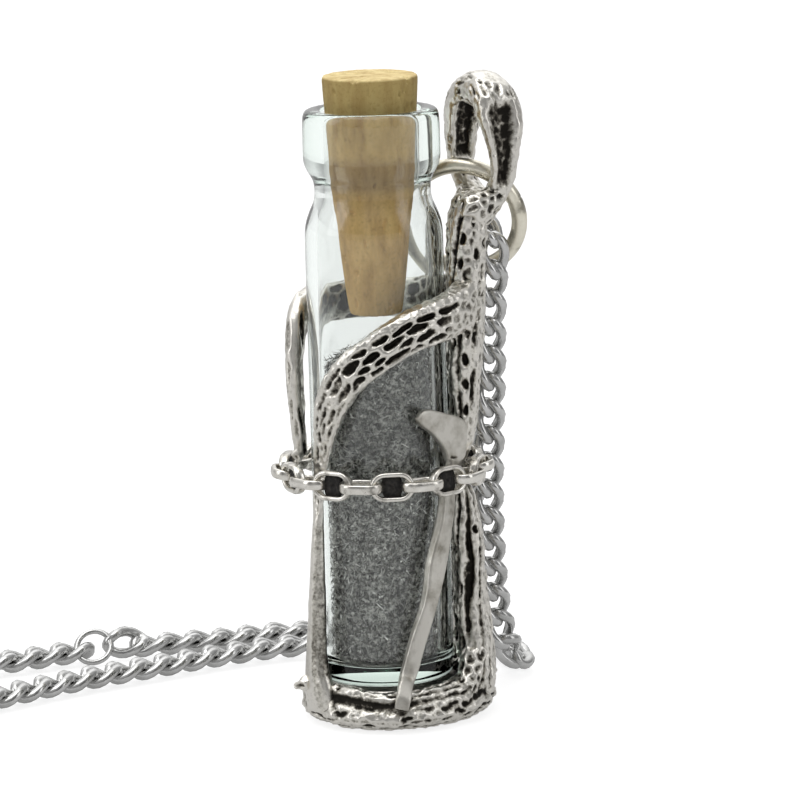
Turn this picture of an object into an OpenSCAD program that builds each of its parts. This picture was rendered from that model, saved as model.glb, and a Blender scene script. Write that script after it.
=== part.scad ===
// Bottle pendant: a small corked glass vial of metal filings, held in a cast metal
// cage of bark-covered branches, with a link chain round the waist, a jump ring
// through the bail and a long curb chain to wear it on.
// Millimetres. +Z up, origin on the floor under the vial's axis. The trunk of the
// cage stands at +X, and the branches cross the front at -Y.
// Angles round the vial run from the front (-Y) towards the trunk (+X) and the back.

/* [Vial] */

// Outside diameter of the glass body
vial_diameter = 12; // [8:0.1:20]

// Length of the vial from its bottom to its rim
vial_length = 50; // [35:0.5:80]

// Height of the vial's bottom above the floor
vial_lift = 3.5; // [2:0.1:6]

// Thickness of the glass wall
glass_wall = 1; // [0.6:0.05:1.6]

// Height of the thick lip under the rim
lip_height = 4.9; // [3:0.1:8]

/* [Cork and filling] */

// Length of the tapered cork
cork_length = 20.8; // [12:0.1:28]

// How far the cork stands out above the rim
cork_proud = 2.9; // [1:0.1:6]

// Share of the cork's diameter that is lost at its narrow end
cork_taper = 0.42; // [0.1:0.01:0.5]

// Depth of the filings as a share of the vial's length
fill_share = 0.552; // [0.2:0.002:0.56]

// Slope of the filings' surface in degrees, high at the trunk's side
fill_slope = 14; // [0:1:30]

/* [Cage] */

// Distance of the base ring's middle line outside the glass
base_out = 1.15; // [0.9:0.01:2]

// Height of the floor plate the vial stands on
plate_height = 3.24; // [1.5:0.02:3.4]

// Factor on the thickness of every bark branch
branch_scale = 1; // [0.9:0.01:1.1]

// How far the middle of the bail's hole lies below the vial's rim
bail_drop = 3.9; // [2.5:0.1:6]

// Width of the bail's hole
bail_hole = 4.2; // [3.6:0.1:5]

// Angle of the bail's hole away from the X axis
bail_turn = 34; // [20:1:60]

/* [Waist chain] */

// Number of links round the waist, an even number
waist_links = 20; // [18:2:24]

// Distance of the waist chain's middle line outside the branches' backs
waist_clear = 1.55; // [1.3:0.05:2]

// Distance of the waist chain's middle from the vial's axis, towards the trunk
waist_shift = 0.2; // [0:0.05:0.6]

// Height of the waist chain above the floor
waist_height = 21.7; // [15:0.1:30]

// Wire of the waist chain's links
waist_wire = 0.62; // [0.5:0.02:0.8]

/* [Ring and neck chain] */

// Radius of the jump ring's middle line
ring_radius = 5; // [4.8:0.05:5.3]

// Wire of the jump ring
ring_wire = 1.35; // [1:0.05:1.5]

// Diameter of the neck chain
neck_diameter = 2.4; // [1.8:0.1:2.5]

/* [Hidden] */

vial_r = vial_diameter/2;
plate_share = 0.975; // radius of the floor plate as a share of the vial's
plate_shift = 0.5;   // how far the plate sits towards the trunk, as the ring does
bore_r = vial_r - glass_wall;
neck_r = vial_r*0.835;
lip_r = vial_r*0.99;
mouth_r = neck_r - glass_wall*0.9;
rim_z = vial_lift + vial_length;
cork_top = rim_z + cork_proud;
cork_bottom = cork_top - cork_length;
cork_r = mouth_r - 0.12;
fill_depth = vial_length*fill_share;
base_radius = vial_r + base_out;
waist_radius = vial_r*1.15 + waist_clear;
bail_height = rim_z - bail_drop;

// The cage follows the vial and the waist chain. Its tables are for a vial of 12 mm
// with the bail's hole at 49.6 mm and the waist chain at 21.7 mm. The feet, in the
// lowest 5 mm, stay on the base ring.
wide = vial_diameter/12;
tall = (bail_height - 5)/44.6;
waist_move = waist_height - 5 - 16.7*tall;
function level(z) = (z < 5 ? z : 5 + (z-5)*tall) + waist_move*max(0, 1 - abs(z-21.7)/13);

function unit(v) = v/norm(v);
function place(f, r, z) = [r*sin(f), -r*cos(f), z];
function squared(c, p) = sign(c)*pow(abs(c), p);

// A smooth run of rows through the rows of a table, k rows to a step.
function between(a, b, c, d, t) = 0.5*(2*b + (c-a)*t + (2*a-5*b+4*c-d)*t*t
                                       + (3*b-a-3*c+d)*t*t*t);
function fine(q, k) = let (n = len(q))
    [for (i = [0:n-2], j = [0:k-1])
        between(q[max(i-1, 0)], q[i], q[i+1], q[min(i+2, n-1)], j/k), q[n-1]];
function fine_loop(q, k) = let (n = len(q))
    [for (i = [0:n-1], j = [0:k-1])
        between(q[(i+n-1)%n], q[i], q[(i+1)%n], q[(i+2)%n], j/k)];

// A skin over oval sections: each row has a middle and two half axes.
module skin(rows, sides = 12, p = 0.85, loop = false) {
    n = len(rows);
    pts = [for (r = rows, k = [0:sides-1]) let (a = 360*k/sides)
           r[0] + r[1]*squared(cos(a), p) + r[2]*squared(sin(a), p)];
    walls = [for (i = [0:n-(loop ? 1 : 2)], k = [0:sides-1])
             let (j = (i+1)%n, m = (k+1)%sides)
             each [[i*sides+k, i*sides+m, j*sides+m], [i*sides+k, j*sides+m, j*sides+k]]];
    ends = loop ? [] : [[for (k = [sides-1:-1:0]) k],
                        [for (k = [0:sides-1]) (n-1)*sides+k]];
    polyhedron(concat(walls, ends) == [] ? [] : pts, concat(walls, ends), convexity = 6);
}

// A place on the cage, from a table's angle, radius and height.
function on_cage(f, r, z) = place(f, r*wide, level(z));

// Rows of a branch that lies on the vial. Columns of its table:
// angle round the vial, height, radius of its middle, width, thickness.
function branch_rows(q) = let (n = len(q))
    [for (i = [0:n-1])
        let (c = q[i], u = q[max(i-1, 0)], v = q[min(i+1, n-1)],
             run = unit(on_cage(v[0], v[2], v[1]) - on_cage(u[0], u[2], u[1])),
             out = place(c[0], 1, 0), size = wide*branch_scale,
             side = unit(cross(run, out)), face = cross(side, run))
        [on_cage(c[0], c[2], c[1]), side*c[3]/2*size, face*c[4]/2*size]];

module branch(q, k = 3, sides = 12, p = 0.85) skin(branch_rows(fine(q, k)), sides, p);

// The vial: a straight body with a rounded heel, a shoulder, a short neck and a
// thick lip, all in one wall of glass.
module vial() color([0.8, 0.9, 0.88, 0.45])
    translate([0, 0, vial_lift]) rotate_extrude($fn = 96) {
        top = vial_length;
        lip = top - lip_height;
        polygon([
            [0, 0], [vial_r*0.7, 0], [vial_r*0.86, 0.25], [vial_r*0.96, 0.8],
            [vial_r, 1.8], [vial_r, lip-6.4], [vial_r*0.985, lip-5.2],
            [vial_r*0.92, lip-4.1], [neck_r*1.01, lip-3.1], [neck_r, lip-2.1],
            [neck_r*1.06, lip-1.1], [lip_r*0.985, lip], [lip_r, top-0.6],
            [lip_r*0.95, top-0.1], [lip_r*0.9, top], [mouth_r*1.03, top],
            [mouth_r, top-0.4], [mouth_r, lip-3.2], [mouth_r*1.06, lip-4.2],
            [bore_r*0.97, lip-5.6], [bore_r, lip-6.6], [bore_r, 2.4],
            [bore_r*0.93, 1.5], [bore_r*0.8, 1.1], [0, 1]]);
    }

// The cork: a tapered plug with a small bevel at both ends.
module cork() color([0.76, 0.6, 0.4])
    rotate_extrude($fn = 72) polygon([
        [0, cork_bottom], [cork_r*(1-cork_taper)-0.2, cork_bottom],
        [cork_r*(1-cork_taper), cork_bottom+0.3],
        [cork_r*0.75, cork_bottom+cork_length*0.29],
        [cork_r*0.88, cork_bottom+cork_length*0.52],
        [cork_r*0.97, rim_z-1.6], [cork_r*1.01, rim_z+0.2],
        [cork_r*1.04, cork_top-0.3], [cork_r*1.0, cork_top], [0, cork_top]]);

// The filings: a loose fill with a sloping top that sinks a little in the middle.
module filings() color([0.35, 0.35, 0.36]) difference() {
    r = bore_r - 0.1;
    base = vial_lift + 1.15;
    translate([0, 0, base]) rotate_extrude($fn = 72) polygon([
        [0, 0], [r*0.78, 0], [r*0.92, 0.45], [r, 1.5], [r, fill_depth+4], [0, fill_depth+4]]);
    translate([0, 0, base+fill_depth]) rotate([0, -fill_slope, 0])
        translate([-15, -15, 0]) cube([30, 30, 12]);
    translate([-1.2, -0.6, base+fill_depth+5.2]) sphere(r = 5.8, $fn = 48);
}

// Near branch: leaves the trunk, crosses the front and runs down to the base ring.
near_table = [
    [102, 37.4, 8.3, 5.4, 2.6], [ 88, 36.7, 8.2, 5.0, 2.7], [ 74, 36.2, 7.7, 4.4, 2.5],
    [ 59, 35.8, 7.3, 4.1, 2.2],
    [ 40, 35.4, 7.2, 3.9, 2.0], [ 26, 35.0, 7.2, 3.7, 2.0], [ 12, 34.2, 7.2, 3.6, 2.0],
    [ -2, 33.1, 7.15, 3.5, 1.95], [-16, 31.8, 7.15, 3.5, 1.9], [-29, 29.8, 7.1, 3.3, 1.8],
    [-39, 27.2, 7.0, 2.6, 1.6], [-47, 24.2, 6.7, 1.7, 1.0], [-54, 21.4, 6.5, 1.3, 0.6],
    [-56, 18.6, 6.6, 1.2, 0.75], [-56.5, 15.6, 6.75, 1.45, 0.95],
    [-57, 10.8, 6.95, 1.8, 1.3], [-57, 5.8, 7.15, 2.4, 1.5], [-54, 2.6, 7.3, 3.8, 1.9]];

// Far branch: passes round the back and turns down on the left side.
far_table = [
    [104, 36.8, 7.7, 4.2, 2.8], [126, 36.3, 7.3, 3.7, 2.2], [150, 36.0, 7.2, 3.5, 2.0],
    [180, 35.9, 7.2, 3.5, 1.9], [210, 35.9, 7.2, 3.5, 1.9], [232, 35.8, 7.2, 3.4, 1.8],
    [247, 35.2, 7.2, 3.1, 1.8], [257, 33.4, 7.25, 2.7, 1.7], [262, 30.6, 7.3, 2.5, 1.6],
    [262.5, 27.2, 7.2, 2.3, 1.4], [262, 24.6, 7.05, 1.9, 1.2], [261, 22.9, 6.95, 1.5, 0.9]];

// The trunk: a near strand and a far strand with a groove between them and a
// narrow strand down the outside.
trunk_near = [
    [ 80,  1.8, 8.1, 3.8, 3.0], [ 82,  6.0, 8.0, 3.2, 3.0], [ 83, 10.0, 7.7, 2.8, 2.8],
    [ 83, 15.0, 7.6, 2.6, 2.7], [ 84, 19.0, 7.35, 2.4, 2.2], [ 85, 21.7, 6.75, 2.0, 1.1],
    [ 85, 24.4, 7.3, 2.3, 2.1], [ 84, 28.0, 7.5, 2.6, 2.6], [ 83, 33.0, 7.8, 3.0, 3.0],
    [ 85, 38.0, 8.0, 3.1, 3.2], [ 84, 42.0, 8.15, 3.0, 3.3], [ 82, 45.4, 8.4, 2.9, 3.2]];
trunk_far = [
    [112,  1.8, 8.1, 3.8, 3.0], [112,  6.0, 8.0, 3.2, 3.0], [111, 10.0, 7.7, 2.8, 2.8],
    [112, 15.0, 7.6, 2.6, 2.7], [113, 19.0, 7.4, 2.5, 2.3], [114, 21.7, 6.9, 2.2, 1.3],
    [113, 24.4, 7.4, 2.5, 2.3], [111, 28.0, 7.5, 2.7, 2.6], [109, 33.0, 7.8, 3.0, 3.0],
    [107, 38.0, 8.0, 3.1, 3.2], [107, 42.0, 8.15, 3.2, 3.2], [109, 45.4, 8.3, 3.3, 2.9]];
trunk_edge = [
    [ 96,  3.0, 8.8, 3.0, 2.2], [ 97,  7.0, 8.5, 2.4, 2.2], [ 97, 12.0, 8.1, 2.1, 2.1],
    [ 96, 16.5, 7.9, 2.0, 1.9], [ 96, 19.4, 6.95, 2.4, 1.1], [ 96, 21.7, 6.75, 2.6, 0.8],
    [ 96, 24.0, 6.95, 2.4, 1.1], [ 96, 27.4, 7.8, 2.0, 1.9], [ 97, 33.0, 8.4, 2.2, 2.2],
    [ 96, 38.0, 8.55, 2.4, 2.2], [ 96, 42.0, 8.7, 2.8, 2.3], [ 96, 45.0, 8.9, 3.4, 2.4]];

// The base ring, a closed branch: higher at the left and at the foot of the trunk.
base_table = [
    [  0, 1.75, 1.00, 3.3, 3.1], [ 30, 1.85, 1.00, 3.5, 3.1], [ 60, 2.05, 1.02, 3.9, 3.1],
    [ 90, 2.45, 1.07, 4.7, 3.3], [120, 2.25, 1.04, 4.3, 3.1], [150, 1.95, 1.00, 3.7, 3.1],
    [180, 1.75, 0.99, 3.4, 3.1], [210, 1.75, 0.95, 3.4, 2.9], [240, 1.70, 0.89, 3.4, 2.6],
    [270, 1.78, 0.86, 3.5, 2.5], [300, 1.90, 0.88, 3.6, 2.6], [330, 2.00, 0.95, 3.8, 2.9]];

function base_rows(k) = [for (i = [0:11], j = [0:k-1])
    let (c = between(base_table[(i+11)%12], base_table[i], base_table[(i+1)%12],
                     base_table[(i+2)%12], j/k), f = 30*(i + j/k))
    [place(f, c[2]*base_radius, c[1]), place(f, c[4]/2*wide, 0), [0, 0, c[3]/2]]];

// The bail: a band round an upright hole. Columns of its table: distance across
// and up from the hole's middle in half widths of the hole, thickness, depth.
bail_across = [sin(bail_turn), -cos(bail_turn), 0];
bail_along = [cos(bail_turn), sin(bail_turn), 0];
bail_middle = [9.6*wide, 2.7*wide, bail_height];
bail_table = [
    [ 0.00, -2.40, 2.0, 2.4], [ 0.95, -1.85, 1.7, 2.4], [ 1.48, -0.95, 1.6, 2.4],
    [ 1.56,  0.10, 1.9, 3.2], [ 1.42,  1.10, 2.4, 4.2], [ 1.05,  1.90, 2.7, 4.2],
    [ 0.52,  2.30, 3.0, 3.7], [ 0.00,  2.40, 3.2, 3.5], [-0.52,  2.30, 3.0, 3.4],
    [-1.08,  1.90, 2.6, 3.4], [-1.44,  1.10, 2.3, 3.3], [-1.56,  0.10, 1.9, 2.9],
    [-1.48, -0.95, 1.6, 2.4], [-0.95, -1.85, 1.7, 2.4]];
function bail_point(c) = bail_middle + bail_across*c[0]*bail_hole/2 + [0, 0, c[1]*bail_hole/2];
function bail_rows(q) = let (n = len(q))
    [for (i = [0:n-1])
        let (run = unit(bail_point(q[(i+1)%n]) - bail_point(q[(i+n-1)%n])))
        [bail_point(q[i]), cross(run, bail_along)*q[i][2]/2, bail_along*q[i][3]/2]];

// A rib: a short thick stick between two points, rounded at both ends.
module rib(a, b, r1, r2) hull() {
    translate(a) sphere(r = r1, $fn = 12);
    translate(b) sphere(r = r2, $fn = 12);
}

module cage() color([0.66, 0.64, 0.6]) {
    translate([plate_shift*wide, 0, 0]) cylinder(r = vial_r*plate_share, h = plate_height, $fn = 60);
    skin(base_rows(4), 14, 0.8, true);
    branch(near_table);
    branch(far_table);
    branch(trunk_near, 2);
    branch(trunk_far, 2);
    branch(trunk_edge, 2, 10);
    skin(bail_rows(fine_loop(bail_table, 2)), 12, 0.8, true);
    // roots of the bail: where its two sides run down into the trunk
    rib(on_cage(82, 8.7, 44.6), bail_point([1.05, -1.95]), 1.4, 0.9);
    rib(on_cage(92, 9.1, 44.4), bail_point([0.5, -2.35]), 1.6, 1.0);
    rib(on_cage(100, 8.9, 44.2), bail_point([-0.4, -2.35]), 1.6, 1.0);
    rib(on_cage(108, 8.6, 44.4), bail_point([-1.1, -1.9]), 1.4, 0.9);
    // swellings where the two branches leave the trunk
    rib(on_cage(88, 8.0, 34.6), on_cage(76, 7.7, 34.9), 1.3, 1.1);
    rib(on_cage(104, 8.1, 34.8), on_cage(116, 7.7, 35.0), 1.3, 1.1);
    // roots of the trunk on the base ring
    rib(on_cage(78, 8.0, 5.4), on_cage(62, 7.9, 3.0), 1.3, 1.0);
    rib(on_cage(118, 8.0, 5.2), on_cage(134, 7.8, 3.0), 1.2, 1.0);
    // bud at the end of the far branch
    rib(on_cage(264, 7.2, 22.9), on_cage(266, 7.3, 23.2), 0.55, 0.5);
}

// The near strut: a plain flat bar with a bent knee, a foot bent over the front of
// the base ring and a broad hooked head.
strut_table = [
    [ 7.8,  2.3, 8.95, 1.25, 0.50], [ 9.3,  3.2, 8.8, 1.3, 0.55], [11.3,  4.0, 8.1, 1.3, 0.6],
    [14.0,  4.6, 7.3, 1.35, 0.75], [17.8,  5.6, 6.95, 1.4, 0.9], [24.2,  8.0, 6.9, 1.42, 0.9],
    [35.0, 11.4, 6.9, 1.4, 0.95], [41.8, 14.4, 6.85, 1.95, 0.95], [51.7, 17.7, 6.8, 1.65, 0.9],
    [58.3, 19.8, 6.65, 1.9, 0.75], [61.0, 21.5, 6.62, 1.9, 0.66],
    [62.0, 22.5, 7.0, 1.9, 0.75], [62.0, 23.4, 7.25, 1.9, 0.75]];
// Outline of the head: distance across and height above the floor.
head_turn = 40;
head_outline = [
    [-1.5, 27.3], [-1.0, 27.9], [-0.2, 28.0], [1.0, 27.6], [2.8, 27.0], [4.0, 26.4],
    [4.05, 25.4], [3.9, 24.2], [3.75, 22.8], [1.8, 22.7], [1.6, 23.9], [1.0, 24.8],
    [0.1, 25.8], [-1.2, 26.7]];

module near_strut() color([0.74, 0.73, 0.7]) {
    skin(branch_rows(fine(strut_table, 2)), 12, 0.4);
    translate(place(head_turn, 6.78*wide, 0)) rotate([90, 0, head_turn])
        linear_extrude(0.8*wide, center = true)
            polygon([for (p = head_outline) [p[0]*wide, level(p[1])]]);
}

// One oval link, its length along X and its hole along Y.
link_pitch = 2*waist_radius*sin(180/waist_links);
link_long = link_pitch + waist_wire + 0.2;
link_wide = waist_wire*3.25;
module link() {
    a = (link_long-link_wide)/2;
    for (s = [-1, 1]) {
        translate([s*a, 0, 0]) rotate([90, 0, 0]) rotate([0, 0, s > 0 ? -90 : 90])
            rotate_extrude(angle = 180, $fn = 24)
                translate([link_wide/2, 0]) circle(d = waist_wire, $fn = 16);
        translate([-a-0.1, 0, s*link_wide/2]) rotate([0, 90, 0])
            cylinder(d = waist_wire*0.96, h = 2*a+0.2, $fn = 16);
    }
}

module waist_chain() color([0.84, 0.83, 0.8])
    for (i = [0:waist_links-1]) {
        f = 5.2 + 360*i/waist_links;
        translate([waist_shift, 0, 0]) translate(place(f, waist_radius, waist_height))
            rotate([0, 0, f]) rotate([i%2 == 0 ? 0 : 90, 0, 0]) link();
    }

// The jump ring: round wire, through the bail's hole, low side behind the trunk.
ring_middle = bail_middle + [-1.75, 2.2, -6.55];
ring_turn = 13;
ring_lean = 18;
module jump_ring() color([0.8, 0.78, 0.74])
    translate(ring_middle) rotate([0, 0, -ring_turn]) rotate([90+ring_lean, 0, 0])
        rotate_extrude($fn = 72) translate([ring_radius, 0]) circle(d = ring_wire, $fn = 24);

// The neck chain, a closed loop: up one side, through the jump ring, down the
// other side and away over the floor. Columns: X, Y, Z.
lay = neck_diameter/2 + 0.02;
neck_route = [
    [9.4, 5.9, 42.1], [9.9, 4.6, 41.7], [10.4, 3.5, 40.0], [10.2, 3.8, 37.5],
    [10.0, 3.9, 34.4], [9.9, 4.5, 30.0], [9.7, 5.8, 24.0], [9.5, 6.8, 18.0],
    [9.6, 8.2, 12.0], [10.0, 9.5, 7.0], [10.7, 10.5, 3.8], [11.7, 11.8, 1.8],
    [12.0, 14.2, lay], [10.9, 18.0, lay], [7.6, 21.8, lay], [1.4, 25.0, lay],
    [-8.4, 26.4, lay], [-14.8, 24.6, lay], [-20.6, 23.2, lay], [-27.6, 21.3, lay],
    [-34.5, 17.9, lay], [-41.0, 15.9, lay], [-49.0, 15.6, lay], [-60.5, 18.5, lay],
    [-72.0, 24.0, lay], [-84.5, 32.0, lay], [-99.5, 40.5, lay], [-116.5, 47.0, lay],
    [-135.5, 49.5, lay], [-154.0, 46.5, lay], [-170.5, 37.5, lay], [-183.5, 24.5, lay],
    [-191.5, 7.5, lay], [-194.0, -11.0, lay], [-190.0, -29.5, lay], [-181.0, -46.0, lay],
    [-166.5, -58.5, lay], [-149.0, -65.5, lay], [-130.5, -67.5, lay],
    [-111.5, -64.0, lay], [-94.5, -55.0, lay], [-79.5, -43.0, lay], [-65.5, -29.0, lay],
    [-53.0, -15.0, lay], [-43.0, -3.6, lay], [-34.5, 4.4, lay], [-27.6, 10.1, lay],
    [-20.6, 14.7, lay], [-14.6, 18.5, lay], [-8.4, 21.1, lay], [-2.0, 21.4, lay],
    [3.4, 19.4, lay], [6.2, 16.6, 1.5], [7.3, 14.4, 3.4], [7.6, 12.6, 7.0],
    [7.9, 11.2, 13.0], [8.0, 10.3, 20.0], [8.2, 9.8, 27.0], [8.4, 9.6, 33.0],
    [8.4, 9.6, 37.0], [8.6, 8.7, 39.8], [9.0, 7.4, 41.4]];

// The hanging part of the route follows the jump ring, and the rest stays on the floor.
ring_rise = ring_middle[2]/43.05;
neck_points = [for (p = neck_route) [p[0]*wide, p[1]*wide, p[2] > 1.5 ? p[2]*ring_rise : p[2]]];

function neck_rows(q) = let (n = len(q))
    [for (i = [0:n-1])
        let (run = unit(q[(i+1)%n] - q[(i+n-1)%n]),
             side = unit(cross(run, abs(run[2]) > 0.6 ? [1, 0.3, 0] : [0, 0, 1])),
             up = cross(side, run))
        [q[i], side*neck_diameter/2, up*neck_diameter/2]];

module neck_chain() color([0.86, 0.86, 0.85]) skin(neck_rows(neck_points), 8, 1, true);

vial();
cork();
filings();
cage();
near_strut();
waist_chain();
jump_ring();
neck_chain();
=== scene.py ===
import math

import bpy
import numpy as np
from mathutils import Matrix, Vector
from mathutils.kdtree import KDTree


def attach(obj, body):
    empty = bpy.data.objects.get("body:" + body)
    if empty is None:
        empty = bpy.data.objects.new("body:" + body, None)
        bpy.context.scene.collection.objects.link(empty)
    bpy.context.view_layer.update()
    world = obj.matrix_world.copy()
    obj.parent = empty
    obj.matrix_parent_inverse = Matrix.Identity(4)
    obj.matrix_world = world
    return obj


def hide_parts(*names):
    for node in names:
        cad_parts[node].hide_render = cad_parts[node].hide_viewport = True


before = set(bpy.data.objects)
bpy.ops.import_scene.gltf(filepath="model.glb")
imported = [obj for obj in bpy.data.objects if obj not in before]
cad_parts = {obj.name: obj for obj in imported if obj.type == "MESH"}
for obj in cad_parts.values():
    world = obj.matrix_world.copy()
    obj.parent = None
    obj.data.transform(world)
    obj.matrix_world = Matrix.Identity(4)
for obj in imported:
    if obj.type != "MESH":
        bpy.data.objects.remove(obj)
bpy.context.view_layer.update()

MM = 0.001


# ---- The table it stands on, the soft light round it, and the camera ----
# A white light table in a soft tent. The table is dimmer in reflections than by
# itself, so the metal keeps its greys. The camera stands 444 mm off and 111 mm up
# and looks a little down at the middle of the vial.
scene = bpy.context.scene
scene.view_settings.view_transform = "Standard"
scene.view_settings.look = "None"

camera_at = Vector((0.0, -444.0, 110.6)) * MM
look_at = Vector((0.0, 0.0, 27.5)) * MM
camera_roll = math.radians(1.6)
frame_side, focal = 800.0, 5187.0  # the picture's side and the focal length, in its pixels
ahead = (look_at - camera_at).normalized()
level_right = ahead.cross(Vector((0, 0, 1))).normalized()
level_up = level_right.cross(ahead)
right = level_right * math.cos(camera_roll) - level_up * math.sin(camera_roll)
up = level_right * math.sin(camera_roll) + level_up * math.cos(camera_roll)
camera_data = bpy.data.cameras.new("camera")
camera_data.sensor_width = 36.0
camera_data.lens = focal / frame_side * 36.0
camera_data.shift_x = 21.4 / frame_side
camera_data.shift_y = 4.4 / frame_side
camera_data.clip_start = 0.01
camera_data.clip_end = 20.0
camera = bpy.data.objects.new("camera", camera_data)
camera.matrix_world = Matrix((
    (right.x, up.x, -ahead.x, camera_at.x),
    (right.y, up.y, -ahead.y, camera_at.y),
    (right.z, up.z, -ahead.z, camera_at.z),
    (0, 0, 0, 1)))
scene.collection.objects.link(camera)
scene.camera = camera


def node(tree, kind, inputs=None, **settings):
    """Adds a shader node, sets its settings, and sets or links its inputs."""
    made = tree.nodes.new("ShaderNode" + kind)
    for name, value in settings.items():
        setattr(made, name, value)
    for key, value in (inputs or {}).items():
        if isinstance(value, bpy.types.NodeSocket):
            tree.links.new(value, made.inputs[key])
        else:
            made.inputs[key].default_value = value
    return made


def ramp(tree, value, stops):
    """A colour ramp of (position, grey level or colour) stops."""
    made = node(tree, "ValToRGB", {"Fac": value})
    band = made.color_ramp
    while len(band.elements) < len(stops):
        band.elements.new(0.5)
    for spot, (where, colour) in zip(band.elements, stops):
        spot.position = where
        tone = (colour,) * 3 if isinstance(colour, (int, float)) else tuple(colour)
        spot.color = tone + (1.0,)
    return made.outputs["Color"]


def ramped(tree, shader, socket, value, stops):
    """Feeds one of the shader's sockets from a value through a colour ramp."""
    tree.links.new(ramp(tree, value, stops), shader.inputs[socket])


def multiplied(tree, one, other, share=1.0):
    """One colour darkened by another. The node's sockets 6 and 7 are its two colours."""
    return node(tree, "Mix", {"Factor": share, 6: one, 7: other}, data_type="RGBA",
                blend_type="MULTIPLY").outputs[2]


def material(name, **values):
    """A new material with the values set on its shader's own sockets."""
    made = bpy.data.materials.new(name)
    made.use_nodes = True
    shader = made.node_tree.nodes["Principled BSDF"]
    for key, value in values.items():
        shader.inputs[key.replace("_", " ")].default_value = value
    return made, made.node_tree, shader


world = bpy.data.worlds.new("light tent")
scene.world = world
world.use_nodes = True
tree = world.node_tree
sky = node(tree, "TexCoord").outputs["Generated"]
parts = node(tree, "SeparateXYZ", {"Vector": sky})
height = ramp(tree, node(tree, "MapRange", {
    "Value": parts.outputs["Z"], "From Min": -1.0, "From Max": 1.0}).outputs[0],
    [(0.0, 0.60), (0.46, 0.60), (0.52, 0.50), (0.70, 0.66), (0.86, 0.95), (1.0, 1.0)])
# dark gaps between the white walls of the tent, seen only in the bright metal
turn = node(tree, "Math", {0: parts.outputs["Y"], 1: parts.outputs["X"]},
            operation="ARCTAN2").outputs[0]
walls = ramp(tree, node(tree, "MapRange", {
    "Value": turn, "From Min": -math.pi, "From Max": math.pi}).outputs[0],
    [(0.0, 0.85), (0.09, 1.0), (0.13, 0.30), (0.17, 0.20), (0.21, 0.62), (0.29, 0.50),
     (0.34, 0.20), (0.38, 0.18), (0.42, 0.95), (0.45, 0.95), (0.48, 0.50), (0.60, 0.55),
     (0.67, 1.5), (0.82, 1.6), (0.90, 0.85), (1.0, 0.85)])
tree.links.new(multiplied(tree, height, walls), tree.nodes["Background"].inputs["Color"])
tree.nodes["Background"].inputs["Strength"].default_value = 1.0

reach = 4.0  # metres from the middle of the table to its edges
own_light, mirrored_light = 0.80, 0.30
table_mesh = bpy.data.meshes.new("table_top")
table_mesh.from_pydata([(-reach, -reach, 0), (reach, -reach, 0), (reach, reach, 0),
                        (-reach, reach, 0)], [], [(0, 1, 2, 3)])
table_top = bpy.data.objects.new("table_top", table_mesh)
scene.collection.objects.link(table_top)
pale, tree, shader = material("white light table", Roughness=0.9)
grain = node(tree, "TexNoise", {"Scale": 40.0, "Detail": 2.0}).outputs["Fac"]
ramped(tree, shader, "Base Color", grain, [(0.3, 0.30), (0.7, 0.33)])
shader.inputs["Emission Color"].default_value = (1, 1, 1, 1)
path = node(tree, "LightPath").outputs
mirrored = node(tree, "Math", {0: path["Is Glossy Ray"], 1: path["Is Transmission Ray"]},
                operation="SUBTRACT", use_clamp=True).outputs[0]
dimmed = node(tree, "MapRange", {"Value": mirrored, "To Min": own_light,
                                 "To Max": mirrored_light}).outputs[0]
tree.links.new(dimmed, shader.inputs["Emission Strength"])
table_mesh.materials.append(pale)


def softbox(name, place, aim, size, power):
    """A square soft light, given in millimetres and watts."""
    data = bpy.data.lights.new(name, "AREA")
    data.shape = "RECTANGLE"
    data.size, data.size_y = size[0] * MM, size[1] * MM
    data.energy = power
    made = bpy.data.objects.new(name, data)
    made.location = Vector(place) * MM
    made.rotation_euler = (Vector(aim) - Vector(place)).to_track_quat("-Z", "Y").to_euler()
    scene.collection.objects.link(made)


softbox("overhead light", (-60, -120, 620), (0, 0, 20), (520, 420), 1.25)
softbox("left light", (-560, -180, 260), (0, 0, 25), (300, 420), 0.55)
softbox("right light", (520, -260, 240), (0, 0, 25), (220, 420), 0.30)


# ---- Vial ----
# A clear glass bottle, 12 mm across and 50 mm long, drawn and finished hot, so
# every corner is round. Its heel stands on the cage's floor plate.
def chaikin(points, rounds):
    """Cuts the corners of an open line of points, keeping its two ends."""
    line = np.asarray(points, float)
    for _ in range(rounds):
        a, b = line[:-1], line[1:]
        cut = np.stack([0.75 * a + 0.25 * b, 0.25 * a + 0.75 * b], 1).reshape(-1, line.shape[1])
        line = np.vstack([line[:1], cut[1:-1], line[-1:]])
    return line


def mesh_object(name, points, *faces, smooth=True):
    """An object from points in millimetres and arrays of faces."""
    mesh = bpy.data.meshes.new(name)
    points = np.asarray(points, float) * MM
    faces = [np.asarray(f, np.int64) for f in faces if len(f)]
    sizes = np.concatenate([np.full(len(f), f.shape[1]) for f in faces])
    corners = np.concatenate([f.ravel() for f in faces])
    mesh.vertices.add(len(points))
    mesh.vertices.foreach_set("co", points.ravel())
    mesh.loops.add(len(corners))
    mesh.loops.foreach_set("vertex_index", corners)
    mesh.polygons.add(len(sizes))
    mesh.polygons.foreach_set("loop_start", np.concatenate([[0], np.cumsum(sizes)[:-1]]))
    mesh.update(calc_edges=True)
    mesh.validate()
    mesh.polygons.foreach_set("use_smooth", np.full(len(mesh.polygons), smooth))
    made = bpy.data.objects.new(name, mesh)
    scene.collection.objects.link(made)
    return made


def grid_faces(rows, columns, first=0, ring=False):
    """Four-cornered faces over rows of points whose columns close round."""
    i = np.arange(rows if ring else rows - 1)[:, None]
    k = np.arange(columns)[None, :]
    j, m = (i + 1) % rows, (k + 1) % columns
    return first + np.stack([i * columns + k, i * columns + m, j * columns + m,
                             j * columns + k], -1).reshape(-1, 4)


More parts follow.
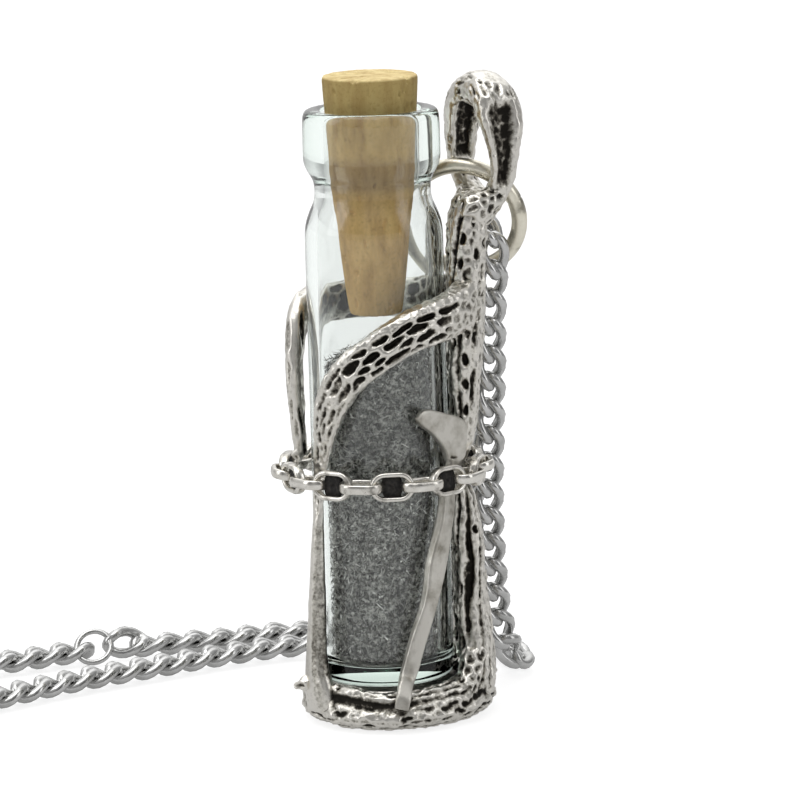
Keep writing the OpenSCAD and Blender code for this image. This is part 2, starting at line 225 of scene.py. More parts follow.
def skin(rows, ends):
    """Points and faces over rows of points that close round, shut onto a point at each end."""
    n, columns = rows.shape[:2]
    k = np.arange(columns)
    after = (k + 1) % columns
    low_fan = np.stack([np.full(columns, n * columns), after, k], -1)
    last_row = (n - 1) * columns
    high_fan = np.stack([last_row + k, last_row + after, np.full(columns, n * columns + 1)], -1)
    return (np.vstack([rows.reshape(-1, 3), ends]), grid_faces(n, columns),
            np.vstack([low_fan, high_fan]))


def circle(count):
    """Angles of an even number of points round a circle."""
    return 2 * np.pi * np.arange(count) / count


def spun(rim, turn):
    """Rows of points of (radius, height) pairs carried round Z."""
    return np.stack([rim[:, :1] * np.sin(turn), -rim[:, :1] * np.cos(turn),
                     np.repeat(rim[:, 1:], len(turn), 1)], -1)


def lathe(profile, sides):
    """Points and faces of a shape turned round Z from (radius, height) pairs, bottom
    to top on the outside, which starts and ends on the axis."""
    return skin(spun(profile[1:-1], circle(sides)),
                [[0, 0, profile[0, 1]], [0, 0, profile[-1, 1]]])


vial_top = 53.5
lip_low = vial_top - 4.9
glass_profile = chaikin([
    (0, 3.60), (3.2, 3.56), (4.4, 3.5), (5.2, 3.5), (5.66, 3.62), (5.92, 3.95), (6.0, 4.6),
    (6.0, lip_low - 7.6), (6.0, lip_low - 6.0), (5.9, lip_low - 5.0), (5.55, lip_low - 4.0),
    (5.12, lip_low - 3.1), (5.01, lip_low - 2.2), (5.12, lip_low - 1.2), (5.6, lip_low - 0.45),
    (5.92, lip_low + 0.25), (5.96, lip_low + 1.2), (5.94, vial_top - 1.0),
    (5.84, vial_top - 0.3), (5.5, vial_top), (4.6, vial_top), (4.2, vial_top - 0.25),
    (4.11, vial_top - 0.9), (4.11, lip_low - 2.2), (4.28, lip_low - 3.2), (4.66, lip_low - 4.1),
    (4.92, lip_low - 5.0), (5.0, lip_low - 6.0), (5.0, lip_low - 7.6), (5.0, 6.4), (4.92, 5.55),
    (4.5, 5.05), (3.4, 4.92), (0, 4.88)], 3)
vial = mesh_object("vial_glass", *lathe(glass_profile, 128))


def spot(tree):
    """The place on the object, in metres, for its patterns."""
    return node(tree, "TexCoord").outputs["Object"]


def noise(tree, at, scale, detail=2.0, roughness=0.5):
    """A cloudy pattern. A scale of three numbers stretches it."""
    if isinstance(scale, tuple):
        at, scale = node(tree, "Mapping", {"Vector": at, "Scale": scale}).outputs[0], 1.0
    return node(tree, "TexNoise", {"Vector": at, "Scale": scale, "Detail": detail,
                                   "Roughness": roughness}).outputs["Fac"]


def bumped(tree, shader, strength, distance, height):
    """Fine unevenness of a surface, its height in metres."""
    bump = node(tree, "Bump", {"Strength": strength, "Distance": distance, "Height": height})
    tree.links.new(bump.outputs[0], shader.inputs["Normal"])


glass, tree, shader = material(
    "clear glass", Roughness=0.0, IOR=1.5, Transmission_Weight=1.0,
    Base_Color=(0.885, 0.895, 0.89, 1.0))
bumped(tree, shader, 0.10, 0.0002, noise(tree, spot(tree), (420.0, 420.0, 60.0), 1.0))
tint = node(tree, "VolumeAbsorption", {"Color": (0.45, 0.92, 0.66, 1.0), "Density": 26.0})
tree.links.new(tint.outputs[0], tree.nodes["Material Output"].inputs["Volume"])
vial.data.materials.append(glass)
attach(vial, "pendant")
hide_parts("vial")


# ---- Cork ----
# A tapered plug cut from natural cork, pressed into the neck. Small pores and
# soft streaks run down it, and its sides follow the neck where it is squeezed.
def scatter(seed, *cells):
    """An even number from 0 to 1 for each cell of a lattice, the same each run."""
    mixed = np.full(np.shape(cells[0]), seed * 40503 + 977, np.uint64)
    for c in cells:
        mixed = (mixed ^ (np.asarray(c).astype(np.int64) & 0xFFFFFF).astype(np.uint64))
        mixed = (mixed * np.uint64(2654435761)) & np.uint64(0xFFFFFFFF)
        mixed ^= mixed >> np.uint64(15)
        mixed = (mixed * np.uint64(2246822519)) & np.uint64(0xFFFFFFFF)
        mixed ^= mixed >> np.uint64(13)
    return (mixed & np.uint64(0xFFFFFF)) / float(0x1000000)


def cloud(points, size, seed, layers=3):
    """Smooth noise from -1 to 1 over points in millimetres; size is one or three lengths."""
    total, weight, share = 0.0, 0.0, 1.0
    scaled = np.asarray(points, float) / np.asarray(size, float)
    for layer in range(layers):
        cell = np.floor(scaled)
        t = scaled - cell
        t = t * t * (3 - 2 * t)
        cell = cell.astype(np.int64)
        value = 0.0
        for dx in (0, 1):
            for dy in (0, 1):
                for dz in (0, 1):
                    w = (np.where(dx, t[..., 0], 1 - t[..., 0])
                         * np.where(dy, t[..., 1], 1 - t[..., 1])
                         * np.where(dz, t[..., 2], 1 - t[..., 2]))
                    value = value + w * scatter(seed + 31 * layer, cell[..., 0] + dx,
                                                cell[..., 1] + dy, cell[..., 2] + dz)
        total, weight = total + share * (2 * value - 1), weight + share
        scaled, share = scaled * 2.03 + 7.1, share * 0.5
    return total / weight


def pits(u, v, seed, jitter=0.8):
    """Cells on a plane, u and v in cells: how far a point is from the nearest cell wall,
    how far from its cell's middle, and a number from 0 to 1 that is the cell's own."""
    iu, iv = np.floor(u).astype(np.int64), np.floor(v).astype(np.int64)
    first = np.full(np.shape(u), 9.0)
    second = np.full(np.shape(u), 9.0)
    own = np.zeros(np.shape(u))
    for du in (-1, 0, 1):
        for dv in (-1, 0, 1):
            cu, cv = iu + du, iv + dv
            pu = cu + 0.5 + jitter * (scatter(seed, cu, cv) - 0.5) + 0.5 * (cv % 2)
            pv = cv + 0.5 + jitter * (scatter(seed + 1, cu, cv) - 0.5)
            far = np.hypot(u - pu, v - pv)
            nearer = far < first
            second = np.where(nearer, first, np.minimum(second, far))
            own = np.where(nearer, scatter(seed + 2, cu, cv), own)
            first = np.where(nearer, far, first)
    return second - first, first, own


def rise(value, low, high):
    """A smooth step from 0 to 1."""
    t = np.clip((value - low) / (high - low), 0, 1)
    return t * t * (3 - 2 * t)


def hollows(wall, far, sharp, low, high):
    """The hollows of the cells that pits() gives, 1 in the middle and 0 at the walls."""
    return rise(wall, 0.0, sharp) * (1 - rise(far, low, high))


def grid_normals(points, middle, ring=False):
    """Outward normals of rows of points whose columns close round."""
    along = ((np.roll(points, -1, 0) - np.roll(points, 1, 0)) if ring
             else np.gradient(points, axis=0))
    across = np.roll(points, -1, 1) - np.roll(points, 1, 1)
    normal = np.cross(across, along)
    normal /= np.linalg.norm(normal, axis=-1, keepdims=True) + 1e-12
    flip = np.sign(np.sum(normal * (points - middle), -1, keepdims=True))
    return normal * np.where(flip == 0, 1, flip)


def turned(profile, sides, relief):
    """A lathe shape whose skin is moved by relief(points, turn, height) in millimetres."""
    rim, turn = profile[1:-1], circle(sides)
    grid = spun(rim, turn)
    slope = np.gradient(rim, axis=0)
    out = spun(np.stack([slope[:, 1], -slope[:, 0]], -1), turn)
    out /= np.linalg.norm(out, axis=-1, keepdims=True) + 1e-12
    move = relief(grid, np.broadcast_to(turn, grid.shape[:2]), grid[..., 2])
    grid = grid + out * move[..., None]
    return skin(grid, [grid[0].mean(0), grid[-1].mean(0)])


def even_line(points, step):
    """The same line with points an even step apart."""
    line = np.asarray(points, float)
    run = np.concatenate([[0], np.cumsum(np.linalg.norm(np.diff(line, axis=0), axis=1))])
    count = max(2, int(round(run[-1] / step)) + 1)
    spots = np.linspace(0, run[-1], count)
    return np.stack([np.interp(spots, run, line[:, k]) for k in range(line.shape[1])], 1)


cork_top, cork_bottom = 56.4, 35.6
cork_profile = even_line(chaikin([
    (0, cork_bottom), (2.1, cork_bottom), (2.31, cork_bottom + 0.3), (2.62, cork_bottom + 2.6),
    (2.99, cork_bottom + 6.0), (3.51, cork_bottom + 10.8), (3.87, 51.9), (4.0, 53.6),
    (4.15, 55.9), (4.13, 56.25), (3.96, cork_top), (3.0, 56.42), (0, cork_top)], 2), 0.14)


def cork_skin(grid, turn, height):
    """Pores, a fine crumb, and the cutter's flat flutes down the side."""
    lean = grid @ np.array([[1, 0.1, 0.05], [0, 1, 0.2], [0.1, 0, 1.0]])
    pore = cloud(lean, (0.5, 0.5, 1.3), 5, 2)
    fine = cloud(grid, 0.22, 6, 2)
    flute = cloud(np.stack([turn * 3.6, turn * 0, height * 0.08], -1), 0.7, 8, 2)
    side = rise(np.hypot(grid[..., 0], grid[..., 1]), 1.2, 2.2)
    return -0.22 * rise(pore, 0.38, 0.62) + 0.014 * fine + 0.035 * flute * side


cork = mesh_object("cork_plug", *turned(cork_profile, 210, cork_skin))
natural, tree, shader = material("natural cork", Roughness=0.85)
at = spot(tree)
grain = noise(tree, at, (900.0, 900.0, 260.0), 5.0, 0.6)
speck = noise(tree, at, 3600.0, 3.0, 0.7)
body = ramp(tree, grain, [(0.28, (0.36, 0.215, 0.08)), (0.45, (0.49, 0.32, 0.135)),
                          (0.6, (0.57, 0.39, 0.175)), (0.8, (0.64, 0.46, 0.225))])
flecks = ramp(tree, speck, [(0.30, (0.72, 0.68, 0.62)), (0.48, (1, 1, 1))])
tone = multiplied(tree, body, flecks, 0.75)
# painted light: faces turned up are made much paler, as though lit from above
painted_top_light = ramp(tree, node(tree, "MapRange", {
    "Value": node(tree, "SeparateXYZ", {"Vector": node(tree, "NewGeometry").outputs["Normal"]}
                  ).outputs["Z"], "From Min": 0.3, "From Max": 0.9}).outputs[0],
    [(0.0, (1, 1, 1)), (1.0, (2.35, 2.55, 3.5))])
tone = multiplied(tree, tone, painted_top_light)
# painted light: paler inside the glass, as though lit through it; darker above the glass, partly
# its own handled colour and partly painted shade; a darker band where the lip begins
painted_light_by_height = ramp(tree, node(tree, "MapRange", {
    "Value": node(tree, "SeparateXYZ", {"Vector": at}).outputs["Z"],
    "From Min": 0.035, "From Max": 0.0575}).outputs[0],
    [(0.0, (1.52, 1.46, 1.26)), (0.50, (1.48, 1.42, 1.22)), (0.54, (0.98, 0.94, 0.90)),
     (0.62, (1.0, 0.95, 0.90)), (0.66, (1.34, 1.31, 1.14)), (0.79, (1.34, 1.31, 1.14)),
     (0.82, (0.66, 0.72, 0.58)), (1.0, (0.66, 0.72, 0.58))])
tree.links.new(multiplied(tree, tone, painted_light_by_height), shader.inputs["Base Color"])
bumped(tree, shader, 0.5, 0.00006, speck)
cork.data.materials.append(natural)
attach(cork, "cork")
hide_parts("cork")


# ---- Filings ----
# A loose fill of metal filings and fine curls, dull grey, that packs against the
# glass. Its top slopes up towards the trunk, and a few curls stand up from it.
fill_low, fill_high, fill_r = 5.0, 32.25, 4.62
fill_slope = math.tan(math.radians(14))
dent_x, dent_y, dent_z, dent_r = -1.2, -0.6, 37.45, 5.8  # a round dent under the cork
curl_reach = 4.70  # no curl lies further from the axis, so none cuts into the glass
curl_in, curl_out, curl_low = 4.36, 4.64, 5.25  # where curls lie against the glass
strip_body = 0.018  # how thick a curl's back is


def fill_top(x, y):
    """Height of the fill's surface over a point."""
    dip = np.sqrt(np.clip(dent_r ** 2 - (x - dent_x) ** 2 - (y - dent_y) ** 2, 0, None))
    plain = fill_high + x * fill_slope
    return np.where(dip > 0, np.minimum(plain, dent_z - dip), plain)


sides, floor_rows, bend_rows, wall_rows, cap_rows = 180, 40, 14, 190, 46
turn = circle(sides)
bend = np.linspace(0, np.pi / 2, bend_rows)
heel_r = np.concatenate([np.linspace(0.05, 0.78, floor_rows) * fill_r,
                         fill_r * (0.78 + 0.22 * np.sin(bend))])
heel_z = np.concatenate([np.full(floor_rows, fill_low), fill_low + 0.6 * (1 - np.cos(bend))])
edge_top = fill_top(fill_r * np.sin(turn), -fill_r * np.cos(turn))
climb = np.linspace(0, 1, wall_rows)[1:, None]
low = heel_z[-1]
cap_r = np.linspace(fill_r, 0.05, cap_rows)[1:, None]
rows_r = np.concatenate([np.repeat(heel_r[:, None], sides, 1),
                         np.full((wall_rows - 1, sides), fill_r), np.repeat(cap_r, sides, 1)])
rows_z = np.concatenate([np.repeat(heel_z[:, None], sides, 1),
                         low + (edge_top[None] - low) * climb,
                         fill_top(cap_r * np.sin(turn), -cap_r * np.cos(turn))])
grid = np.stack([rows_r * np.sin(turn), -rows_r * np.cos(turn), rows_z], -1)
inward = np.stack([-np.sin(turn), np.cos(turn), 0 * turn], -1)[None]
lump = 0.5 + 0.5 * cloud(grid, 0.55, 21, 3)
crumb = 0.5 + 0.5 * cloud(grid, 0.24, 23, 2)
push = 0.46 * lump + 0.18 * crumb
on_top = np.arange(len(grid))[:, None] >= len(grid) - cap_rows + 1
push = np.where(on_top, 0, push)[..., None]
grid = grid + inward * push * np.minimum(1, rows_r / 2)[..., None]
grid[..., 2] += np.where(on_top, 0.9 * (lump - 0.5) + 0.5 * (crumb - 0.5), 0)
fill_body = mesh_object("filings_body", *skin(grid, [grid[0].mean(0), grid[-1].mean(0)]))


def curls(name, count, seed, where, sizes, widths, steps=5):
    """Many small bent strips of metal in one mesh. where gives each one's middle and the
    normal of the surface it lies on."""
    rng = np.random.default_rng(seed)
    middle, normal = where(rng, count)
    length = rng.uniform(*sizes, count)
    width = rng.uniform(*widths, count)
    bend = rng.uniform(0.3, 2.6, count) * np.sign(rng.uniform(-1, 1, count))
    lean = rng.uniform(-0.45, 0.45, count)
    any_way = rng.normal(size=(count, 3))
    along = np.cross(normal, any_way)
    along /= np.linalg.norm(along, axis=1, keepdims=True)
    along = along * np.cos(lean)[:, None] + normal * np.sin(lean)[:, None]
    side = np.cross(normal, along)
    side /= np.linalg.norm(side, axis=1, keepdims=True)
    lift = np.cross(along, side)
    spin = rng.uniform(0, 2 * np.pi, count)
    flat = side * np.cos(spin)[:, None] + lift * np.sin(spin)[:, None]
    thick = -side * np.sin(spin)[:, None] + lift * np.cos(spin)[:, None]
    s = np.linspace(-0.5, 0.5, steps)
    angle = bend[:, None] * s
    radius = length / np.abs(bend)
    run = radius[:, None] * np.sin(np.abs(bend)[:, None] * s)
    rise_by = np.sign(bend)[:, None] * radius[:, None] * (1 - np.cos(angle))
    line = middle[:, None] + along[:, None] * run[..., None] + thick[:, None] * rise_by[..., None]
    taper = (1 - 0.8 * (2 * np.abs(s)) ** 3)[None, :, None]
    half = flat[:, None] * (width[:, None, None] / 2) * taper
    body = thick[:, None] * strip_body * taper
    strip = np.stack([line - half, line + half, line + body * 1.6], 2)
    reach = np.hypot(strip[..., 0], strip[..., 1])
    strip[..., :2] *= np.minimum(1, curl_reach / reach)[..., None]
    base = (np.arange(count) * steps * 3)[:, None]
    i = np.arange(steps - 1)[None, :]
    quads = [np.stack([base + i * 3 + a, base + i * 3 + b, base + i * 3 + 3 + b,
                       base + i * 3 + 3 + a], -1).reshape(-1, 4)
             for a, b in ((0, 1), (1, 2), (2, 0))]
    first = (np.arange(count) * steps * 3)[:, None] + np.array([[2, 1, 0]])
    last = (np.arange(count) * steps * 3 + (steps - 1) * 3)[:, None] + np.array([[0, 1, 2]])
    made = mesh_object(name, strip.reshape(-1, 3), np.vstack(quads), np.vstack([first, last]),
                       smooth=False)
    shade = made.data.attributes.new("shade", "FLOAT", "POINT")
    shade.data.foreach_set("value", np.repeat(rng.uniform(0, 1, count), steps * 3))
    return made


def on_wall(rng, count):
    """Places against the glass, from the floor of the vial to the top of the fill."""
    turn = rng.uniform(0, 2 * np.pi, count)
    out = np.stack([np.sin(turn), -np.cos(turn), 0 * turn], -1)
    top = fill_top(4.8 * out[:, 0], 4.8 * out[:, 1])
    z = curl_low + rng.uniform(0, 1, count) * (top - curl_low - 0.10)
    return out * rng.uniform(curl_in, curl_out, count)[:, None] + [0, 0, 1] * z[:, None], out


def on_surface(rng, count):
    """Places on top of the fill, a few of them a little above it."""
    turn, far = rng.uniform(0, 2 * np.pi, count), 4.5 * np.sqrt(rng.uniform(0, 1, count))
    x, y = far * np.sin(turn), -far * np.cos(turn)
    lift = rng.uniform(0, 1, count) ** 4 * 0.9
    return (np.stack([x, y, fill_top(x, y) + lift], -1),
            np.stack([0.25 * rng.normal(size=count), 0.25 * rng.normal(size=count),
                      np.ones(count)], -1))


wall_curls = curls("filings_curls", 3800, 71, on_wall, (0.35, 1.25), (0.035, 0.10))
chips = curls("filings_chips", 6400, 73, on_wall, (0.14, 0.5), (0.07, 0.2), 3)
top_curls = curls("filings_top_curls", 1000, 72, on_surface, (0.4, 1.5), (0.035, 0.09))
tin, tree, shader = material("tin filings", Metallic=1.0, Roughness=0.42)


def scaled(tree, value, factor, plus):
    """The value times a factor, plus a number or another value."""
    return node(tree, "Math", {0: value, 1: factor, 2: plus}, operation="MULTIPLY_ADD").outputs[0]


def added(tree, one, other):
    """The sum of two values."""
    return node(tree, "Math", {0: one, 1: other}, operation="ADD").outputs[0]


own = node(tree, "Attribute", attribute_name="shade").outputs["Fac"]
blotch = noise(tree, spot(tree), 420.0, 4.0, 0.65)
ramped(tree, shader, "Base Color", added(tree, own, scaled(tree, blotch, 2.2, -1.1)), [
    (0.0, (0.05, 0.047, 0.042)), (0.40, (0.24, 0.23, 0.21)),
    (0.66, (0.62, 0.61, 0.58)), (1.0, (0.97, 0.96, 0.93))])
for piece in (wall_curls, chips, top_curls):
    piece.data.materials.append(tin)
dust, tree, shader = material("packed tin dust", Metallic=0.85, Roughness=0.6)
blotch = noise(tree, spot(tree), 2300.0, 6.0, 0.75)
ramped(tree, shader, "Base Color", blotch, [
    (0.40, (0.03, 0.028, 0.025)), (0.5, (0.27, 0.265, 0.25)), (0.60, (0.84, 0.83, 0.80))])
bumped(tree, shader, 0.9, 0.00012, blotch)
fill_body.data.materials.append(dust)
for piece in (fill_body, wall_curls, chips, top_curls):
    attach(piece, "pendant")
    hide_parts("filings")


# ---- Cage ----
# One casting in pewter: a ring of bark under the vial, a trunk at the right, two
# branches round the glass and a bail on top. The bark is carved in the model, and
# the dark film left in its hollows is rubbed off the ridges. Faces turned towards the
# glass close to it are darkened as painted shade.
def spline(table, steps, ring=False):
    """A smooth run of rows through the rows of a table."""
    q = np.asarray(table, float)
    n = len(q)
    spans = n if ring else n - 1
    i = np.repeat(np.arange(spans), steps)
    t = np.tile(np.arange(steps) / steps, spans)[:, None]
    if ring:
        a, b, c, d = q[(i - 1) % n], q[i], q[(i + 1) % n], q[(i + 2) % n]
    else:
        a, b, c, d = q[np.maximum(i - 1, 0)], q[i], q[i + 1], q[np.minimum(i + 2, n - 1)]
    rows = 0.5 * (2 * b + (c - a) * t + (2 * a - 5 * b + 4 * c - d) * t * t
                  + (3 * b - a - 3 * c + d) * t ** 3)
    return rows if ring else np.vstack([rows, q[-1:]])


def place(turn, radius, height):
    """A point from its angle round the vial in degrees, radius and height."""
    a = np.radians(turn)
    return np.stack(np.broadcast_arrays(radius * np.sin(a), -radius * np.cos(a), height), -1)


def unit(v):
    """The same directions, one long."""
    return v / (np.linalg.norm(v, axis=-1, keepdims=True) + 1e-12)


def branch_rows(table, steps):
    """Middles and half axes of a branch's sections. Its table's columns: angle round the
    vial, height, radius of its middle, width, thickness."""
    turn, height, radius, width, thick = spline(table, steps).T
    middle = place(turn, radius, height)
    run = unit(np.gradient(middle, axis=0))
    out = place(turn, 1.0, 0.0)
    side = unit(np.cross(run, out))
    face = np.cross(side, run)
    return middle, side * width[:, None] / 2, face * thick[:, None] / 2


def squarish(a, power):
    """Cosine and sine, pulled out towards a square's corners by a power under 1."""
    return [np.sign(w) * np.abs(w) ** power for w in (np.cos(a), np.sin(a))]


def shells():
    """Room for the overlapping shells of one piece of the casting."""
    return {"points": [], "quads": [], "fans": [], "film_and_shade": []}


def add_shell(shells, points, quads, fans, film_and_shade):
    """Adds one closed skin, and the dark film that each of its points keeps."""
    first = sum(len(p) for p in shells["points"])
    for key, value in (("points", points), ("quads", quads + first), ("fans", fans + first),
                       ("film_and_shade", film_and_shade)):
        shells[key].append(value)


def bark(part, rows, relief, ring=False, sides=96, power=0.85):
    """Adds a skin over oval sections to a part. relief(s, across, around, out, points)
    gives how far each point moves in mm and how much dark film it keeps: s is the way along
    and around the way round in mm, across and out run from -1 to 1 over the section."""
    middle, wide, deep = rows
    a = circle(sides) - np.pi / 2
    c, d = squarish(a, power)
    grid = middle[:, None] + wide[:, None] * c[None, :, None] + deep[:, None] * d[None, :, None]
    step = np.linalg.norm(np.diff(middle, axis=0), axis=1)
    s = np.concatenate([[0], np.cumsum(step)])[:, None] + 0 * a[None]
    mean = np.mean(np.linalg.norm(wide, axis=1) + np.linalg.norm(deep, axis=1)) / 2
    around = mean * (a + np.pi / 2)[None] + 0 * s
    normal = grid_normals(grid, middle[:, None], ring)
    out = np.broadcast_to(d[None], s.shape)
    move, film_and_shade = relief(s, np.broadcast_to(c[None], s.shape), around, out, grid)
    grid = grid + normal * move[..., None]
    film_and_shade = (film_and_shade + 0 * move).ravel()
    if ring:
        add_shell(part, grid.reshape(-1, 3), grid_faces(len(grid), sides, ring=True),
                  np.empty((0, 3), np.int64), film_and_shade)
    else:
        add_shell(part, *skin(grid, [middle[0], middle[-1]]), np.append(film_and_shade, [0.0, 0.0]))


def furrows(length, width, depth, seed, slant=0.0, worn=0.0, fine=0.05):
    """A bark relief: long pits between narrow ridges. worn is the share that is rubbed
    nearly full."""
    def relief(s, across, around, out, points):
        u = (s + slant * around) / length + 0.22 * cloud(points, 1.8, seed + 5, 2)
        v = (around - 0.35 * slant * s) / width + 0.30 * cloud(points, 1.5, seed + 6, 2)
        wall, far, own = pits(u, v, seed, 0.7)
        flow = 0.5 + 0.5 * cloud(np.stack([u * 0.9, v * 1.25, 0 * u], -1), 1.0, seed + 20, 2)
        hollow = hollows(wall, far, 0.5, 0.30, 0.78) * (0.6 + 0.5 * own)
        hollow = rise(0.85 * hollow + 0.55 * flow, 0.38, 1.0)
        hollow = hollow * np.where(own < worn, 0.3, 1.0)
        rough = cloud(points, 0.40, seed + 9, 3)
        move = -depth * hollow + fine * rough + 0.08 * cloud(points, 2.1, seed + 12, 2)
        return move, (0.2 + 1.1 * min(depth, 0.4)) * hollow
    return relief


def strands(width, depth, seed, twist=0.0, pitted=0.35):
    """A bark relief: strands that run along the branch, parted by ragged grooves, with a
    net of fine lines on them and a deep pit here and there."""
    def relief(s, across, around, out, points):
        long_way = points * [1, 1, 0.3]
        v = (around + twist * s) / width + 0.6 * cloud(long_way, 2.0, seed, 2)
        strand = np.floor(v)
        off = v - strand - 0.5
        patchy = rise(cloud(long_way, 1.5, seed + 3, 2), -0.4, 0.25)
        groove = rise(np.abs(off), 0.22, 0.45) * (0.2 + 0.8 * patchy)
        cell = s / 2.3 + 3 * scatter(seed + 4, strand)
        own = scatter(seed + 5, strand, np.floor(cell))
        ragged = 1 + 0.5 * cloud(points, 0.5, seed + 8, 2)
        reach = ragged * np.hypot(off * width / 0.32, (cell - np.floor(cell) - 0.5) * 2.3
                                  / (0.6 + 1.2 * own))
        pit = (1 - rise(reach, 0.3, 1.0)) * (own < pitted)
        wall, far, _ = pits(s / 0.9 + 0.3 * cloud(points, 0.9, seed + 6, 2), around / 0.45,
                            seed + 7, 0.8)
        net = hollows(wall, far, 0.35, 0.35, 0.7)
        hollow = np.maximum(groove, pit)
        move = (-depth * hollow - 0.14 * net + 0.12 * cloud(points, 0.45, seed + 9, 3)
                + 0.16 * cloud(points, 1.7, seed + 12, 2))
        return move, 0.58 * hollow + 0.20 * net
    return relief


# each row: angle round the vial, height, radius of the middle, width, thickness
near_branch = [
    [102, 37.4, 8.3, 5.4, 2.6], [88, 36.7, 8.2, 5.0, 2.7], [74, 36.2, 7.7, 4.4, 2.5],
    [59, 35.8, 7.3, 4.1, 2.2], [40, 35.4, 7.2, 3.9, 2.0], [26, 35.0, 7.2, 3.7, 2.0],
    [12, 34.2, 7.2, 3.6, 2.0], [-2, 33.1, 7.15, 3.5, 1.95], [-16, 31.8, 7.15, 3.5, 1.9],
    [-29, 29.8, 7.1, 3.3, 1.8], [-39, 27.2, 7.0, 2.6, 1.6], [-47, 24.2, 6.7, 1.7, 1.0],
    [-54, 21.4, 6.5, 1.3, 0.6], [-56, 18.6, 6.6, 1.2, 0.75], [-56.5, 15.6, 6.75, 1.45, 0.95],
    [-57, 10.8, 6.95, 1.8, 1.3], [-57, 5.8, 7.15, 2.4, 1.5], [-54.5, 3.2, 7.2, 3.4, 1.7],
    [-54, 1.3, 7.0, 3.8, 1.4]]
far_branch = [
    [104, 36.8, 7.7, 4.2, 2.8], [126, 36.3, 7.3, 3.7, 2.2], [150, 36.0, 7.2, 3.5, 2.0],
    [180, 35.9, 7.2, 3.5, 1.9], [210, 35.9, 7.2, 3.5, 1.9], [232, 35.8, 7.2, 3.4, 1.8],
    [247, 35.2, 7.2, 3.1, 1.8], [257, 33.4, 7.25, 2.7, 1.7], [262, 30.6, 7.3, 2.5, 1.6],
    [262.5, 27.2, 7.2, 2.3, 1.4], [262, 24.6, 7.05, 1.9, 1.2], [261, 22.9, 6.95, 1.5, 0.9]]
trunk_near = [
    [80, 1.8, 8.1, 3.8, 3.0], [82, 6.0, 8.0, 3.2, 3.0], [83, 10.0, 7.7, 2.8, 2.8],
    [83, 15.0, 7.6, 2.6, 2.7], [84, 19.0, 7.35, 2.4, 2.2], [85, 21.7, 6.75, 2.0, 1.1],
    [85, 24.4, 7.3, 2.3, 2.1], [84, 28.0, 7.5, 2.6, 2.6], [83, 33.0, 7.8, 3.0, 3.0],
    [85, 38.0, 8.0, 3.1, 3.2], [84, 42.0, 8.15, 3.0, 3.3], [83, 44.3, 8.35, 2.6, 2.8],
    [84, 45.6, 8.5, 1.4, 1.6]]
trunk_far = [
    [112, 1.8, 8.1, 3.8, 3.0], [112, 6.0, 8.0, 3.2, 3.0], [111, 10.0, 7.7, 2.8, 2.8],
    [112, 15.0, 7.6, 2.6, 2.7], [113, 19.0, 7.4, 2.5, 2.3], [114, 21.7, 6.9, 2.2, 1.3],
    [113, 24.4, 7.4, 2.5, 2.3], [111, 28.0, 7.5, 2.7, 2.6], [109, 33.0, 7.8, 3.0, 3.0],
    [107, 38.0, 8.0, 3.1, 3.2], [107, 42.0, 8.15, 3.2, 3.2], [108, 44.3, 8.3, 2.7, 2.6],
    [108, 45.8, 8.5, 1.4, 1.4]]
trunk_edge = [
    [96, 3.0, 8.8, 3.0, 2.2], [97, 7.0, 8.5, 2.4, 2.2], [97, 12.0, 8.1, 2.1, 2.1],
    [96, 16.5, 7.9, 2.0, 1.9], [96, 19.4, 6.95, 2.4, 1.1], [96, 21.7, 6.75, 2.6, 0.8],
    [96, 24.0, 6.95, 2.4, 1.1], [96, 27.4, 7.8, 2.0, 1.9], [97, 33.0, 8.4, 2.2, 2.2],
    [96, 38.0, 8.55, 2.4, 2.2], [96, 42.0, 8.7, 2.8, 2.3], [96, 45.0, 8.9, 3.4, 2.4]]
base_r = 7.15
base_ring = [  # height of the middle, radius as a share of base_r, height, thickness
    [1.75, 1.00, 3.3, 3.1], [1.85, 1.00, 3.5, 3.1], [2.05, 1.05, 3.9, 3.2],
    [2.45, 1.11, 4.7, 3.5], [2.25, 1.06, 4.3, 3.2], [1.95, 1.00, 3.7, 3.1],
    [1.75, 0.99, 3.4, 3.1], [1.75, 0.95, 3.4, 2.9], [1.70, 0.89, 3.4, 2.6],
    [1.78, 0.86, 3.5, 2.5], [1.90, 0.88, 3.6, 2.6], [2.00, 0.95, 3.8, 2.9]]
bail_band = [  # across and up in half widths of the hole, thickness, depth
    [0.00, -2.40, 2.0, 2.4], [0.95, -1.85, 1.7, 2.4], [1.48, -0.95, 1.6, 2.4],
    [1.56, 0.10, 1.9, 3.2], [1.42, 1.10, 2.4, 4.2], [1.05, 1.90, 2.7, 4.2],
    [0.52, 2.30, 3.0, 3.7], [0.00, 2.40, 3.2, 3.5], [-0.52, 2.30, 3.0, 3.4],
    [-1.08, 1.90, 2.8, 3.4], [-1.40, 1.10, 2.7, 3.3], [-1.50, 0.10, 2.2, 2.9],
    [-1.48, -0.95, 1.6, 2.4], [-0.95, -1.85, 1.7, 2.4]]
near_shells, far_shells, trunk_shells, bail_shells, foot_shells = (shells() for _ in range(5))


